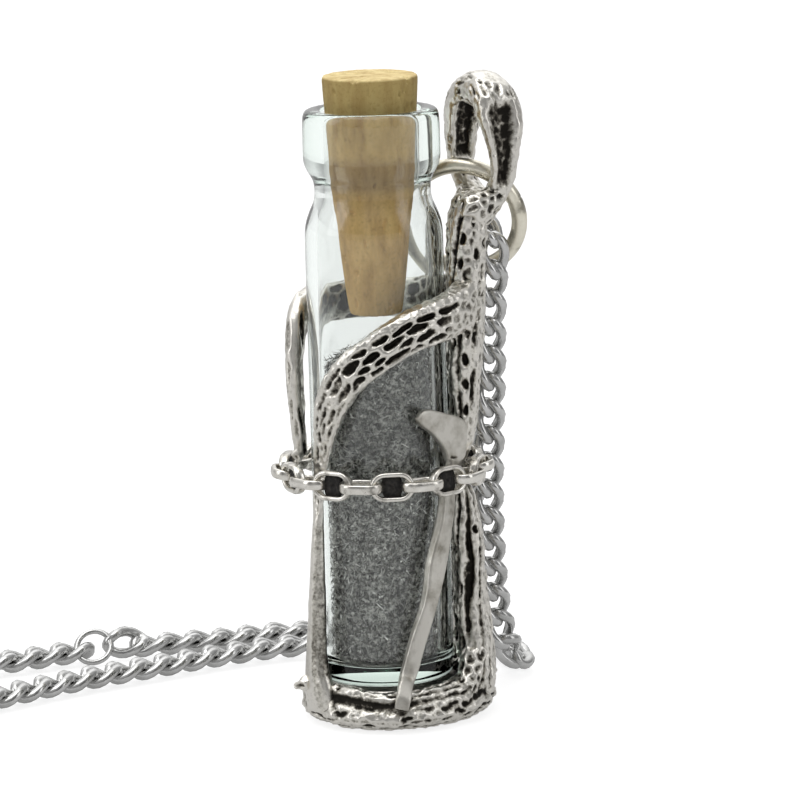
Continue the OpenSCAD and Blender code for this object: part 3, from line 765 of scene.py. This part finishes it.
def crossing(s, across, around, out, points):
    """The near branch: three rows of long pits between a broad worn upper edge and a
    narrow lower one, a worn root at the trunk and a filed leg below the waist chain."""
    lean = s + 0.55 * across
    u = lean / 2.3 + 0.26 * cloud(points, 1.4, 105, 3)
    v = 2.35 * across + 0.38 * cloud(points, 1.2, 106, 3) + 0.35
    wall, far, own = pits(u, v, 101, 0.8)
    flow = 0.5 + 0.5 * cloud(np.stack([u * 0.9, v * 1.3, 0 * u], -1), 1.0, 121, 2)
    hollow = hollows(wall, far, 0.42, 0.34, 0.76) * (0.7 + 0.4 * own)
    hollow = rise(0.9 * hollow + 0.5 * flow, 0.32, 1.05) * (0.75 + 0.45 * flow)
    hollow = hollow * (1 - 0.62 * rise(s, 14, 20))
    face = rise(out, -0.35, 0.15) * (1 - rise(across, 0.52, 0.74)) * rise(across, -0.94, -0.78)
    root = rise(s, 6.4, 9.0) + 0.7 * rise(own, 0.55, 0.6) * rise(s, 1.0, 2.5)
    leg = 1 - rise(s, 29.5, 32.0)
    hollow = hollow * face * np.clip(root, 0, 1) * leg
    edge = 0.16 * rise(across, 0.40, 0.75) * (1 - rise(across, 0.9, 1.0)) * leg
    facets = 0.10 * (1 - leg) * (1 - np.abs(across + 0.1) * 1.4)
    rough = cloud(points, 0.42, 109, 3)
    stain = 0.55 * (1 - leg) * rise(-across, 0.05, 0.5) + 0.10 * (1 - root) * rise(out, 0, 0.3)
    wall, far, _ = pits(s / 0.8 + 0.3 * rough, around / 0.5, 123, 0.85)
    net = hollows(wall, far, 0.35, 0.35, 0.7) * leg
    return (-0.56 * hollow - 0.09 * net + edge + facets + (0.028 + 0.07 * leg) * rough
            + 0.07 * cloud(points, 2.2, 112, 2)), 0.60 * hollow + 0.12 * net + stain


bark(near_shells, branch_rows(near_branch, 26), crossing, sides=128)
bark(far_shells, branch_rows(far_branch, 22), furrows(2.7, 1.0, 0.15, 131, slant=0.2, worn=0.3))
bark(trunk_shells, branch_rows(trunk_near, 34), strands(1.15, 0.50, 151, twist=0.05), sides=110)
bark(trunk_shells, branch_rows(trunk_far, 34), strands(1.05, 0.45, 171, twist=-0.04), sides=110)
bark(trunk_shells, branch_rows(trunk_edge, 34), strands(0.95, 0.40, 191, pitted=0.2), sides=110)


def ring_folds(s, across, around, out, points):
    """The base ring: long folds that run with the ring, a dark channel round the top of
    its front, and small pits on the outer ridge."""
    plain, dark = strands(0.88, 0.34, 211, pitted=0.3)(s, across, around, out, points)
    front = rise(-points[..., 1], 1.0, 4.0) * (1 - 0.6 * rise(points[..., 0], 1.0, 4.0))
    lift = np.degrees(np.arctan2(out, across))
    channel = np.exp(-((lift - 32) / 26) ** 2) * front
    rim = 0.14 * np.exp(-((lift + 24) / 16) ** 2)
    return (plain * (1 - 0.5 * channel) - 0.62 * channel + rim,
            np.maximum(dark + 0.07, 0.95 * channel))


ring_rows = spline(base_ring, 40, ring=True)
around = 360.0 * np.arange(len(ring_rows)) / len(ring_rows)
bark(foot_shells, (place(around, ring_rows[:, 1] * base_r, ring_rows[:, 0]),
                   place(around, ring_rows[:, 3] / 2, 0.0),
                   ring_rows[:, 2, None] / 2 * np.array([[0, 0, 1.0]])),
     ring_folds, ring=True, sides=120, power=0.8)

bail_turn = math.radians(34)
bail_across = np.array([math.sin(bail_turn), -math.cos(bail_turn), 0])
bail_along = np.array([math.cos(bail_turn), math.sin(bail_turn), 0])
bail_middle, bail_half = np.array([9.6, 2.7, 49.6]), 2.1


def bail_point(across, up):
    """A point in the bail's plane, in half widths of its hole from the middle."""
    return (bail_middle + bail_across * across * bail_half
            + np.array([0, 0, 1.0]) * up * bail_half)


def bail_channels(s, across, around, out, points):
    """The bail: a worn band with a broad channel down the right strand's outer face and down
    the left strand's inner face, both with a net of small bark lines in them."""
    def window(low, high):  # 1 on a stretch of the band, given in mm along it
        return rise(s, low, low + 1.3) * (1 - rise(s, high - 1.3, high))
    right_side = (1 - rise(np.abs(out + 0.28), 0.38, 0.78)) * rise(-across, 0.0, 0.5)
    left_side = (1 - rise(np.abs(out + 0.20), 0.42, 0.82)) * rise(across, 0.0, 0.5)
    right_side, left_side = right_side * window(3.0, 10.8), left_side * window(14.2, 21.8)
    channel = np.clip(right_side + left_side, 0, 1)
    wall, far, own = pits(s / 1.1 + 0.5 * cloud(points, 0.8, 235, 2),
                          around / 0.42 + 0.4 * cloud(points, 0.9, 236, 2), 231, 0.85)
    net = hollows(wall, far, 0.32, 0.38, 0.7)
    spots = net * np.where(own > 0.7, 1.0, 0.3)
    move = (-0.70 * channel - 0.12 * net * channel - 0.22 * spots * (1 - channel)
            + 0.08 * cloud(points, 0.42, 233, 3) + 0.09 * cloud(points, 1.8, 234, 2))
    return move, (0.50 + 0.08 * net) * channel + 0.30 * spots * (1 - channel)


band = spline(bail_band, 26, ring=True)
middle = np.array([bail_point(a, b) for a, b in band[:, :2]])
run = unit(np.roll(middle, -1, 0) - np.roll(middle, 1, 0))
bark(bail_shells, (middle, unit(np.cross(run, bail_along)) * band[:, 2, None] / 2,
                   bail_along * band[:, 3, None] / 2),
     bail_channels, ring=True, sides=110, power=0.8)


def rib(a, b, r1, r2):
    """A short thick stick between two points, rounded at both ends."""
    a, b = np.asarray(a, float), np.asarray(b, float)
    reach = np.linalg.norm(b - a)
    run = (b - a) / reach
    swell, fall = np.linspace(0.1, np.pi / 2, 8), np.linspace(0, np.pi / 2 - 0.1, 8)
    way = np.concatenate([-r1 * np.cos(swell), np.linspace(0, reach, 12)[1:-1],
                          reach + r2 * np.sin(fall)])
    size = np.concatenate([r1 * np.sin(swell), np.linspace(r1, r2, 12)[1:-1],
                           r2 * np.cos(fall)])
    side = unit(np.cross(run, [0.3, 0.2, 0.9]))
    face = np.cross(side, run)
    return a + run * way[:, None], side * size[:, None], face * size[:, None]


for rib_at, (part, a, b, r1, r2) in enumerate([
        (bail_shells, place(82, 8.7, 44.6), bail_point(1.05, -1.95), 1.4, 0.9),
        (bail_shells, place(92, 9.1, 44.4), bail_point(0.5, -2.35), 1.6, 1.0),
        (bail_shells, place(100, 8.9, 44.2), bail_point(-0.4, -2.35), 1.6, 1.0),
        (bail_shells, place(108, 8.6, 44.4), bail_point(-1.1, -1.9), 1.4, 0.9),
        (trunk_shells, place(88, 8.0, 34.6), place(76, 7.7, 34.9), 1.3, 1.1),
        (trunk_shells, place(104, 8.1, 34.8), place(116, 7.7, 35.0), 1.3, 1.1),
        (foot_shells, place(78, 8.0, 5.4), place(62, 7.9, 3.0), 1.3, 1.0),
        (foot_shells, place(118, 8.0, 5.2), place(134, 7.8, 3.0), 1.2, 1.0),
        (far_shells, place(264, 7.2, 22.9), place(266, 7.3, 23.2), 0.55, 0.5),
        (foot_shells, place(-61, 7.9, 3.7), place(-64, 8.6, 3.5), 0.75, 0.4)]):
    bark(part, rib(a, b, r1, r2), furrows(1.2, 0.7, 0.24, 251 + rib_at, fine=0.08), sides=64)
plate = chaikin([(0, 0), (5.7, 0), (5.84, 0.1), (5.84, 3.1), (5.7, 3.24), (0, 3.24)], 1)
plate_points, plate_walls, plate_ends = lathe(plate, 90)
add_shell(foot_shells, plate_points + [0.5, 0, 0], plate_walls, plate_ends,
          np.zeros(len(plate_points)))


def read_out(source, name, kind, width):
    """A mesh's numbers as rows."""
    values = np.empty(len(source) * width, kind)
    source.foreach_get(name, values)
    return values.reshape(-1, width)


def fused(name, shells, voxel, limit, rounds=1):
    """Melts overlapping shells into one skin, evens out the steps of the grid and thins
    the mesh to the limit of triangles."""
    raw = mesh_object(name + "_raw", *(np.vstack(shells[key])
                                       for key in ("points", "quads", "fans")))
    raw.data.transform(Matrix.Scale(1 / MM, 4))
    melt = raw.modifiers.new("melt", "REMESH")
    melt.mode = "VOXEL"
    melt.voxel_size = voxel
    bpy.context.view_layer.update()
    made = bpy.data.meshes.new_from_object(
        raw.evaluated_get(bpy.context.evaluated_depsgraph_get()))
    bpy.data.objects.remove(raw)
    co = read_out(made.vertices, "co", np.float32, 3).astype(float)
    ends = read_out(made.edges, "vertices", np.int32, 2)
    for _ in range(rounds):
        co = co + 0.5 * (neighbours(co, ends) - co)
    made.vertices.foreach_set("co", co.ravel())
    made.update()
    obj = bpy.data.objects.new(name, made)
    scene.collection.objects.link(obj)
    triangles = sum(len(p.vertices) - 2 for p in made.polygons)
    if triangles > limit:
        thin = obj.modifiers.new("thin", "DECIMATE")
        thin.ratio = limit / triangles
        bpy.context.view_layer.update()
        lean = bpy.data.meshes.new_from_object(
            obj.evaluated_get(bpy.context.evaluated_depsgraph_get()))
        obj.modifiers.clear()
        obj.data = lean
        lean.validate()
    obj.data.transform(Matrix.Scale(MM, 4))
    obj.data.polygons.foreach_set("use_smooth", np.full(len(obj.data.polygons), True))
    obj.data.materials.clear()
    return obj


def neighbours(values, ends):
    """Each point's mean over the points it shares an edge with."""
    n = len(values)
    shares = np.bincount(ends.ravel(), minlength=n)[:, None]
    total = np.stack([np.bincount(ends[:, 0], values[ends[:, 1], k], n)
                      + np.bincount(ends[:, 1], values[ends[:, 0], k], n)
                      for k in range(values.shape[1])], 1)
    return total / np.maximum(shares, 1)


def film_and_shade_left(obj, shells, fine=0.10, broad=0.34, inner=0.0):
    """Stores how much dark film is left on each point, from 0 on a ridge to 1 in a hollow:
    by the hollows of the finished skin and by what its relief says, plus painted shade,
    weighted by inner, on faces turned towards the vial close to the glass."""
    mesh = obj.data
    co = read_out(mesh.vertices, "co", np.float32, 3).astype(float) / MM
    normal = read_out(mesh.vertices, "normal", np.float32, 3).astype(float)
    ends = read_out(mesh.edges, "vertices", np.int32, 2)
    even, sunk = co.copy(), np.zeros(len(co))
    for rounds, weight, depth in ((12, 0.9, fine), (78, 0.8, broad)):
        for _ in range(rounds):
            even = neighbours(even, ends)
        sunk += weight * np.sum((even - co) * normal, 1) / depth
    raw = np.vstack(shells["points"])
    kept = np.concatenate(shells["film_and_shade"])
    tree = KDTree(len(raw))
    for at, point in enumerate(raw.tolist()):
        tree.insert(point, at)
    tree.balance()
    nearest = np.array([tree.find(point)[1] for point in co.tolist()])
    out = co[:, :2] / (np.linalg.norm(co[:, :2], axis=1, keepdims=True) + 1e-9)
    # painted shade: faces turned towards the vial close to the glass are darkened
    inward = rise(-np.sum(out * normal[:, :2], 1), 0.25, 0.85)
    near_glass = 1 - rise(np.hypot(co[:, 0], co[:, 1]), 6.9, 8.2)
    film_and_shade = 0.12 + 0.40 * sunk + kept[nearest] + inner * inward * near_glass
    store = mesh.attributes.new("film_and_shade", "FLOAT", "POINT")
    store.data.foreach_set("value", np.clip(film_and_shade, 0, 1).astype(np.float32))


cage, cage_voxel = [], 0.11
# the last number is how much painted shade a piece gets on faces turned towards the glass
for name, part, limit, inner in (("cage_near_branch", near_shells, 72000, 0.45),
                                 ("cage_far_branch", far_shells, 36000, 0.35),
                                 ("cage_trunk", trunk_shells, 104000, 0.25),
                                 ("cage_bail", bail_shells, 56000, 0.0),
                                 ("cage_foot", foot_shells, 74000, 0.3)):
    piece = fused(name, part, cage_voxel, limit)
    film_and_shade_left(piece, part, inner=inner)
    cage.append(piece)
pewter, tree, shader = material("antiqued pewter", Metallic=1.0)
# the attribute holds the dark film in the hollows plus painted shade on faces turned to the glass
deep = node(tree, "Attribute", attribute_name="film_and_shade").outputs["Fac"]
at = spot(tree)
smear = noise(tree, at, 900.0, 5.0, 0.6)
grain = noise(tree, at, 3400.0, 4.0, 0.65)
mottle = scaled(tree, smear, 0.6, scaled(tree, grain, 1.1, -0.55 - 0.30))
film_and_shade = added(tree, deep, mottle)
ramped(tree, shader, "Base Color", film_and_shade, [
    (0.06, (0.80, 0.775, 0.72)), (0.26, (0.56, 0.54, 0.485)), (0.42, (0.30, 0.285, 0.25)),
    (0.60, (0.11, 0.10, 0.085)), (0.84, (0.022, 0.020, 0.017))])
ramped(tree, shader, "Roughness", film_and_shade, [(0.1, 0.28), (0.45, 0.42), (0.8, 0.60)])
bumped(tree, shader, 0.5, 0.00006, grain)
for piece in cage:
    piece.data.materials.append(pewter)
    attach(piece, "pendant")
    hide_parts("cage")


# ---- Near strut ----
# A plain bar of the same casting, filed and brushed flat, with a bent knee and a
# broad hooked head. It has only a thin worn bevel and no bark.
strut_rows = [
    [7.8, 2.3, 8.95, 1.25, 0.50], [9.3, 3.2, 8.8, 1.3, 0.55], [11.3, 4.0, 8.1, 1.3, 0.6],
    [14.0, 4.6, 7.3, 1.35, 0.75], [17.8, 5.6, 6.95, 1.4, 0.9], [24.2, 8.0, 6.9, 1.42, 0.9],
    [35.0, 11.4, 6.9, 1.4, 0.95], [41.8, 14.4, 6.85, 1.95, 0.95], [51.7, 17.7, 6.8, 1.65, 0.9],
    [58.3, 19.8, 6.65, 1.9, 0.75], [61.0, 21.5, 6.62, 1.9, 0.66],
    [62.0, 22.5, 7.0, 1.9, 0.75], [62.0, 23.4, 7.25, 1.9, 0.75]]
head_outline = np.array([
    [-1.5, 27.3], [-1.0, 27.9], [-0.2, 28.0], [1.0, 27.6], [2.8, 27.0], [4.0, 26.4],
    [4.05, 25.4], [3.9, 24.2], [3.75, 22.8], [1.8, 22.7], [1.6, 23.9], [1.0, 24.8],
    [0.1, 25.8], [-1.2, 26.7]])
bar = shells()


def filed(s, across, around, out, points):
    """A filed face with a step below the head and a thin dark line down each side."""
    step = 0.10 * (1 - rise(points[..., 2], 24.9, 25.1)) * rise(out, 0.5, 0.9)
    return (0.03 * cloud(points, 0.9, 301, 3) + 0.015 * cloud(points, 0.3, 303, 2) + step,
            0.16 * rise(np.abs(across), 0.93, 1.0))


bark(bar, branch_rows(strut_rows, 30), filed, sides=72, power=0.42)
head_turn, head_r = 40.0, 6.78
sideways = place(head_turn + 90, 1.0, 0.0)
outward = place(head_turn, 1.0, 0.0)
edge = even_line(chaikin(np.vstack([head_outline, head_outline[:1]]), 2), 0.12)[:-1]
inner = edge.mean(0)
head_layers = []
for off, shrink in ((-0.40, 0.10), (-0.33, 0.02), (-0.15, 0.0), (0.15, 0.0), (0.31, 0.03),
                    (0.40, 0.13)):
    ring = inner + (edge - inner) * (1 - shrink / 2.2)
    head_layers.append(place(head_turn, head_r, 0.0) + outward * off
                       + ring[:, :1] * sideways + ring[:, 1:] * np.array([[0, 0, 1.0]]))
head = np.array(head_layers)
add_shell(bar, *skin(head, [head[0].mean(0), head[-1].mean(0)]),
          np.zeros(len(head) * len(edge) + 2))
strut = fused("near_strut_bar", bar, voxel=0.085, limit=44000, rounds=2)
film_and_shade_left(strut, bar, fine=0.06, broad=0.2)
plain, tree, shader = material("brushed pewter", Metallic=1.0)
deep = node(tree, "Attribute", attribute_name="film_and_shade").outputs["Fac"]
at = spot(tree)
smear = noise(tree, at, 420.0, 6.0, 0.62)
brush = node(tree, "TexNoise", {
    "Vector": node(tree, "Mapping", {"Vector": at, "Rotation": (0.0, 0.35, 0.0),
                                     "Scale": (9000.0, 9000.0, 900.0)}).outputs[0],
    "Scale": 1.0, "Detail": 3.0}).outputs["Fac"]
ramped(tree, shader, "Base Color", added(tree, deep, scaled(tree, smear, 1.5, -0.55)), [
    (0.15, (0.68, 0.66, 0.61)), (0.36, (0.50, 0.48, 0.43)),
    (0.56, (0.25, 0.23, 0.19)), (0.85, (0.05, 0.045, 0.038))])
ramped(tree, shader, "Roughness", brush, [(0.3, 0.36), (0.7, 0.52)])
bumped(tree, shader, 0.25, 0.00003, brush)
strut.data.materials.append(plain)
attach(strut, "pendant")
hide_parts("near_strut")


# ---- Waist chain ----
# Twenty oval links of bright flat wire pulled round the cage, laid in turn face on
# and edge on. They are polished outside, and a black sheet of painted shade fills the
# holes of the links that lie face on.
def tube(line, side, face, wire, sides=16):
    """Points of a closed tube of wire along a closed line. side and face span its section."""
    a = circle(sides)
    return (line[:, None] + side[:, None] * (np.cos(a) * wire / 2)[None, :, None]
            + face[:, None] * (np.sin(a) * wire / 2)[None, :, None])


def oval(long, wide, steps):
    """The middle line of an oval link: two bars and two round ends, in its own plane."""
    bow = wide / 2
    bar_half = max(long - wide, 0) / 2
    arc = np.linspace(-np.pi / 2, np.pi / 2, steps)
    right_end = np.stack([bar_half + bow * np.cos(arc), bow * np.sin(arc)], 1)
    ring = np.vstack([right_end, -right_end])
    step = 2 * (np.pi * bow + 2 * bar_half) / (4 * steps)
    return even_line(np.vstack([ring, ring[:1]]), step)[:-1]


def wire_links(name, shapes):
    """One mesh of many closed tubes, each given as its grid of points."""
    points, faces, first = [], [], 0
    for grid in shapes:
        points.append(grid.reshape(-1, 3))
        faces.append(grid_faces(grid.shape[0], grid.shape[1], first, ring=True))
        first += grid.shape[0] * grid.shape[1]
    return mesh_object(name, np.vstack(points), np.vstack(faces))


waist_links, waist_r, waist_z = 20, 8.45, 21.85
link_long, link_wide, strip_thick, strip_wide = 3.9, 2.62, 0.46, 0.86
first_link, sway, edge_on = 5.2, 6.0, 86.0  # degrees
web_long, web_high, web_thick = 0.88, 0.98, 0.10  # half sizes


def waist_link(link, radius):
    """A waist link's middle, the way along it, and the up and face of its hole."""
    turn = first_link + 360.0 * link / waist_links
    out, along = place(turn, 1.0, 0.0), place(turn + 90, 1.0, 0.0)
    tilt = math.radians(sway * math.sin(link * 2.4) + edge_on * (link % 2))
    hole_up = np.array([0, 0, 1.0]) * math.cos(tilt) + out * math.sin(tilt)
    return (np.array([0.2, 0, waist_z]) + out * radius, along, hole_up,
            np.cross(along, hole_up))


link_line = oval(link_long - strip_thick, link_wide - strip_thick, 13)
across_strip, through_strip = squarish(circle(16), 0.7)
shapes = []
for link in range(waist_links):
    centre, along, hole_up, hole_face = waist_link(link, waist_r)
    line = centre + link_line[:, :1] * along + link_line[:, 1:] * hole_up
    run = unit(np.roll(line, -1, 0) - np.roll(line, 1, 0))
    face = np.broadcast_to(hole_face, line.shape)
    side = np.cross(run, face)
    shapes.append(line[:, None] + side[:, None] * (across_strip * strip_thick / 2)[None, :, None]
                  + face[:, None] * (through_strip * strip_wide / 2)[None, :, None])
waist = wire_links("waist_links", shapes)
bright, tree, shader = material("bright link wire", Metallic=1.0, Roughness=0.2)
smear = noise(tree, spot(tree), 800.0, 5.0, 0.6)
ramped(tree, shader, "Base Color", smear, [
    (0.3, (0.90, 0.88, 0.83)), (0.54, (0.78, 0.755, 0.70)), (0.68, (0.30, 0.285, 0.255))])
ramped(tree, shader, "Roughness", smear, [(0.3, 0.17), (0.75, 0.34)])
waist.data.materials.append(bright)
# painted shade: a thin black sheet in the hole of each link that lies face on
disc = squarish(circle(40), 0.5)
disc = np.stack([web_long * disc[0], web_high * disc[1]], 1)
webs = []
for link in range(0, waist_links, 2):
    centre, along, hole_up, hole_face = waist_link(link, waist_r - 0.12)
    webs.append(np.array([
        centre + hole_face * off + disc[:, :1] * along * share + disc[:, 1:] * hole_up * share
        for off, share in ((-web_thick, 0.02), (-web_thick, 0.98), (web_thick, 0.98),
                           (web_thick, 0.02))]))
web = wire_links("waist_link_shade_webs", webs)
hole_shade, tree, shader = material("painted hole shade", Metallic=0.2, Roughness=0.7)
ramped(tree, shader, "Base Color", noise(tree, spot(tree), 4200.0, 3.0), [
    (0.4, (0.006, 0.0055, 0.005)), (0.7, (0.035, 0.031, 0.027))])
web.data.materials.append(hole_shade)
for piece in (waist, web):
    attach(piece, "pendant")
    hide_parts("waist_chain")


# ---- Jump ring ----
# A round of 1.4 mm wire, bent shut through the hole of the bail. The two cut ends
# meet in a fine seam, and the neck chain hangs in it.
ring_middle = np.array([7.85, 4.9, 43.05])
ring_r, ring_wire, seam_at = 5.0, 1.38, math.radians(20)
lean = np.array(Matrix.Rotation(math.radians(-13), 3, "Z")
                @ Matrix.Rotation(math.radians(108), 3, "X"))
a = circle(200)
spoke = np.stack([np.cos(a), np.sin(a), 0 * a], 1) @ lean.T
axis = np.broadcast_to(lean @ np.array([0, 0, 1.0]), spoke.shape)
ring_line = ring_middle + ring_r * spoke
seam = np.abs((a - seam_at + np.pi) % (2 * np.pi) - np.pi) * ring_r
pinch = 1 - 0.10 * np.exp(-(seam / 0.05) ** 2)
grid = tube(ring_line, spoke, axis, ring_wire, 22) - ring_line[:, None]
jump_ring = wire_links("jump_ring_wire", [ring_line[:, None] + grid * pinch[:, None, None]])
worn_wire, tree, shader = material("worn ring wire", Metallic=1.0)
smear = noise(tree, spot(tree), 520.0, 6.0, 0.62)
ramped(tree, shader, "Base Color", smear, [
    (0.34, (0.95, 0.91, 0.78)), (0.52, (0.82, 0.78, 0.66)), (0.68, (0.32, 0.30, 0.245))])
ramped(tree, shader, "Roughness", smear, [(0.3, 0.26), (0.75, 0.42)])
jump_ring.data.materials.append(worn_wire)
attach(jump_ring, "pendant")
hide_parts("jump_ring")


# ---- Neck chain ----
# A curb chain of polished steel wire, 61 cm long: each oval link is twisted so
# that the next one lies flat in it. It hangs from the ring and lies on the table.
lay = 1.22  # height of the chain's middle line on the table
down_behind = [
    [9.4, 5.9, 42.1], [9.9, 4.6, 41.7], [10.4, 3.5, 40.0], [10.2, 3.8, 37.5], [10.0, 3.9, 34.4],
    [9.9, 4.5, 30.0], [9.7, 5.8, 24.0], [9.5, 6.8, 18.0], [9.6, 8.2, 12.0], [10.0, 9.5, 7.0],
    [10.7, 10.5, 3.8], [11.7, 11.8, 1.8]]
on_table = [
    [12.0, 14.2], [10.9, 18.0], [7.6, 21.8], [1.4, 25.0], [-8.4, 26.4], [-14.8, 24.6],
    [-20.6, 23.2], [-27.6, 21.3], [-34.5, 17.9], [-41.0, 15.9], [-49.0, 15.6], [-60.5, 18.5],
    [-72.0, 24.0], [-84.5, 32.0], [-99.5, 40.5], [-116.5, 47.0], [-135.5, 49.5], [-154.0, 46.5],
    [-170.5, 37.5], [-183.5, 24.5], [-191.5, 7.5], [-194.0, -11.0], [-190.0, -29.5],
    [-181.0, -46.0], [-166.5, -58.5], [-149.0, -65.5], [-130.5, -67.5], [-111.5, -64.0],
    [-94.5, -55.0], [-79.5, -43.0], [-65.5, -29.0], [-53.0, -15.0], [-43.0, -3.6], [-34.5, 4.4],
    [-27.6, 10.1], [-20.6, 14.7], [-14.6, 18.5], [-8.4, 21.1], [-2.0, 21.4], [3.4, 19.4]]
back_up = [
    [6.2, 16.6, 1.5], [7.3, 14.4, 3.4], [7.6, 12.6, 7.0], [7.9, 11.2, 13.0], [8.0, 10.3, 20.0],
    [8.2, 9.8, 27.0], [8.4, 9.6, 33.0], [8.4, 9.6, 37.0], [8.6, 8.7, 39.8], [9.0, 7.4, 41.4]]
neck_route = down_behind + [[x, y, lay] for x, y in on_table] + back_up
neck_wire, link_pitch, half_wide, twist = 0.95, 2.55, 1.02, math.radians(56)
smooth_route = spline(neck_route, 24, ring=True)
smooth_route = np.vstack([smooth_route, smooth_route[:1]])
step = np.linalg.norm(np.diff(smooth_route, axis=0), axis=1)
route_run = np.concatenate([[0], np.cumsum(step)])
link_count = 2 * int(round(route_run[-1] / link_pitch / 2))
spots = (np.arange(link_count) + 0.5) * route_run[-1] / link_count
centres = np.stack([np.interp(spots, route_run, smooth_route[:, k]) for k in range(3)], 1)
run = unit(np.roll(centres, -1, 0) - np.roll(centres, 1, 0))
steep = np.abs(run[:, 2:])
facing = ((1 - steep) ** 1.2 * np.array([[0, 0, 1.0]])
          + steep ** 1.2 * np.array([[0.35, -0.9, 0]]))
facing = unit(facing - run * np.sum(facing * run, 1, keepdims=True))
beside = np.cross(facing, run)
half_long = (link_pitch + neck_wire) / 2
x, y = squarish(circle(24), 0.9)
x, y = half_long * x, half_wide * y
angle = -twist * x / half_long
link_line = np.stack([x, y * np.cos(angle), y * np.sin(angle)], 1)
link_run = unit(np.roll(link_line, -1, 0) - np.roll(link_line, 1, 0))
link_face = np.stack([0 * x, -np.sin(angle), np.cos(angle)], 1)
link_side = unit(np.cross(link_run, link_face))
link_face = np.cross(link_side, link_run)
link_grid = tube(link_line, link_side, link_face, neck_wire, 8)
# the two ends of the chain are joined by a plain round ring and one open link
join, join_z, join_r, join_wire = np.array([-26.8, 20.9]), 1.65, 1.60, 0.55
behind = centres[:, 1] > 17
order = np.argsort(np.where(behind, np.hypot(*(centres[:, :2] - join).T), 99.0))
gone = order[0]
stood = [k for k in ((gone - 1) % link_count, (gone + 1) % link_count)
         if centres[k, 0] > join[0]][0]
beside[stood] = unit(np.array([0, 0.35, 0.94]))
facing[stood] = np.cross(run[stood], beside[stood])
centres[stood] += [0, 0, 0.45]
shapes = [c + link_grid[..., :1] * r + link_grid[..., 1:2] * b + link_grid[..., 2:] * f
          for k, (c, r, b, f) in enumerate(zip(centres, run, beside, facing)) if k != gone]
t = circle(24)
level, upright = np.array([0.98, 0.2, 0]), np.array([0, 0.62, 0.78])
spoke = np.cos(t)[:, None] * level + np.sin(t)[:, None] * upright
axis = np.broadcast_to(np.cross(level, upright), spoke.shape)
ring_line = np.array([join[0], join[1], join_z]) + join_r * spoke
shapes.append(tube(ring_line, spoke, axis, join_wire, 8))
neck = wire_links("neck_links", shapes)
steel, tree, shader = material("polished steel wire", Metallic=1.0)
smear = noise(tree, spot(tree), 600.0, 4.0, 0.6)
ramped(tree, shader, "Base Color", smear, [(0.3, (0.70, 0.70, 0.695)), (0.7, (0.50, 0.50, 0.49))])
ramped(tree, shader, "Roughness", smear, [(0.3, 0.16), (0.7, 0.28)])
neck.data.materials.append(steel)
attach(neck, "pendant")
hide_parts("neck_chain")
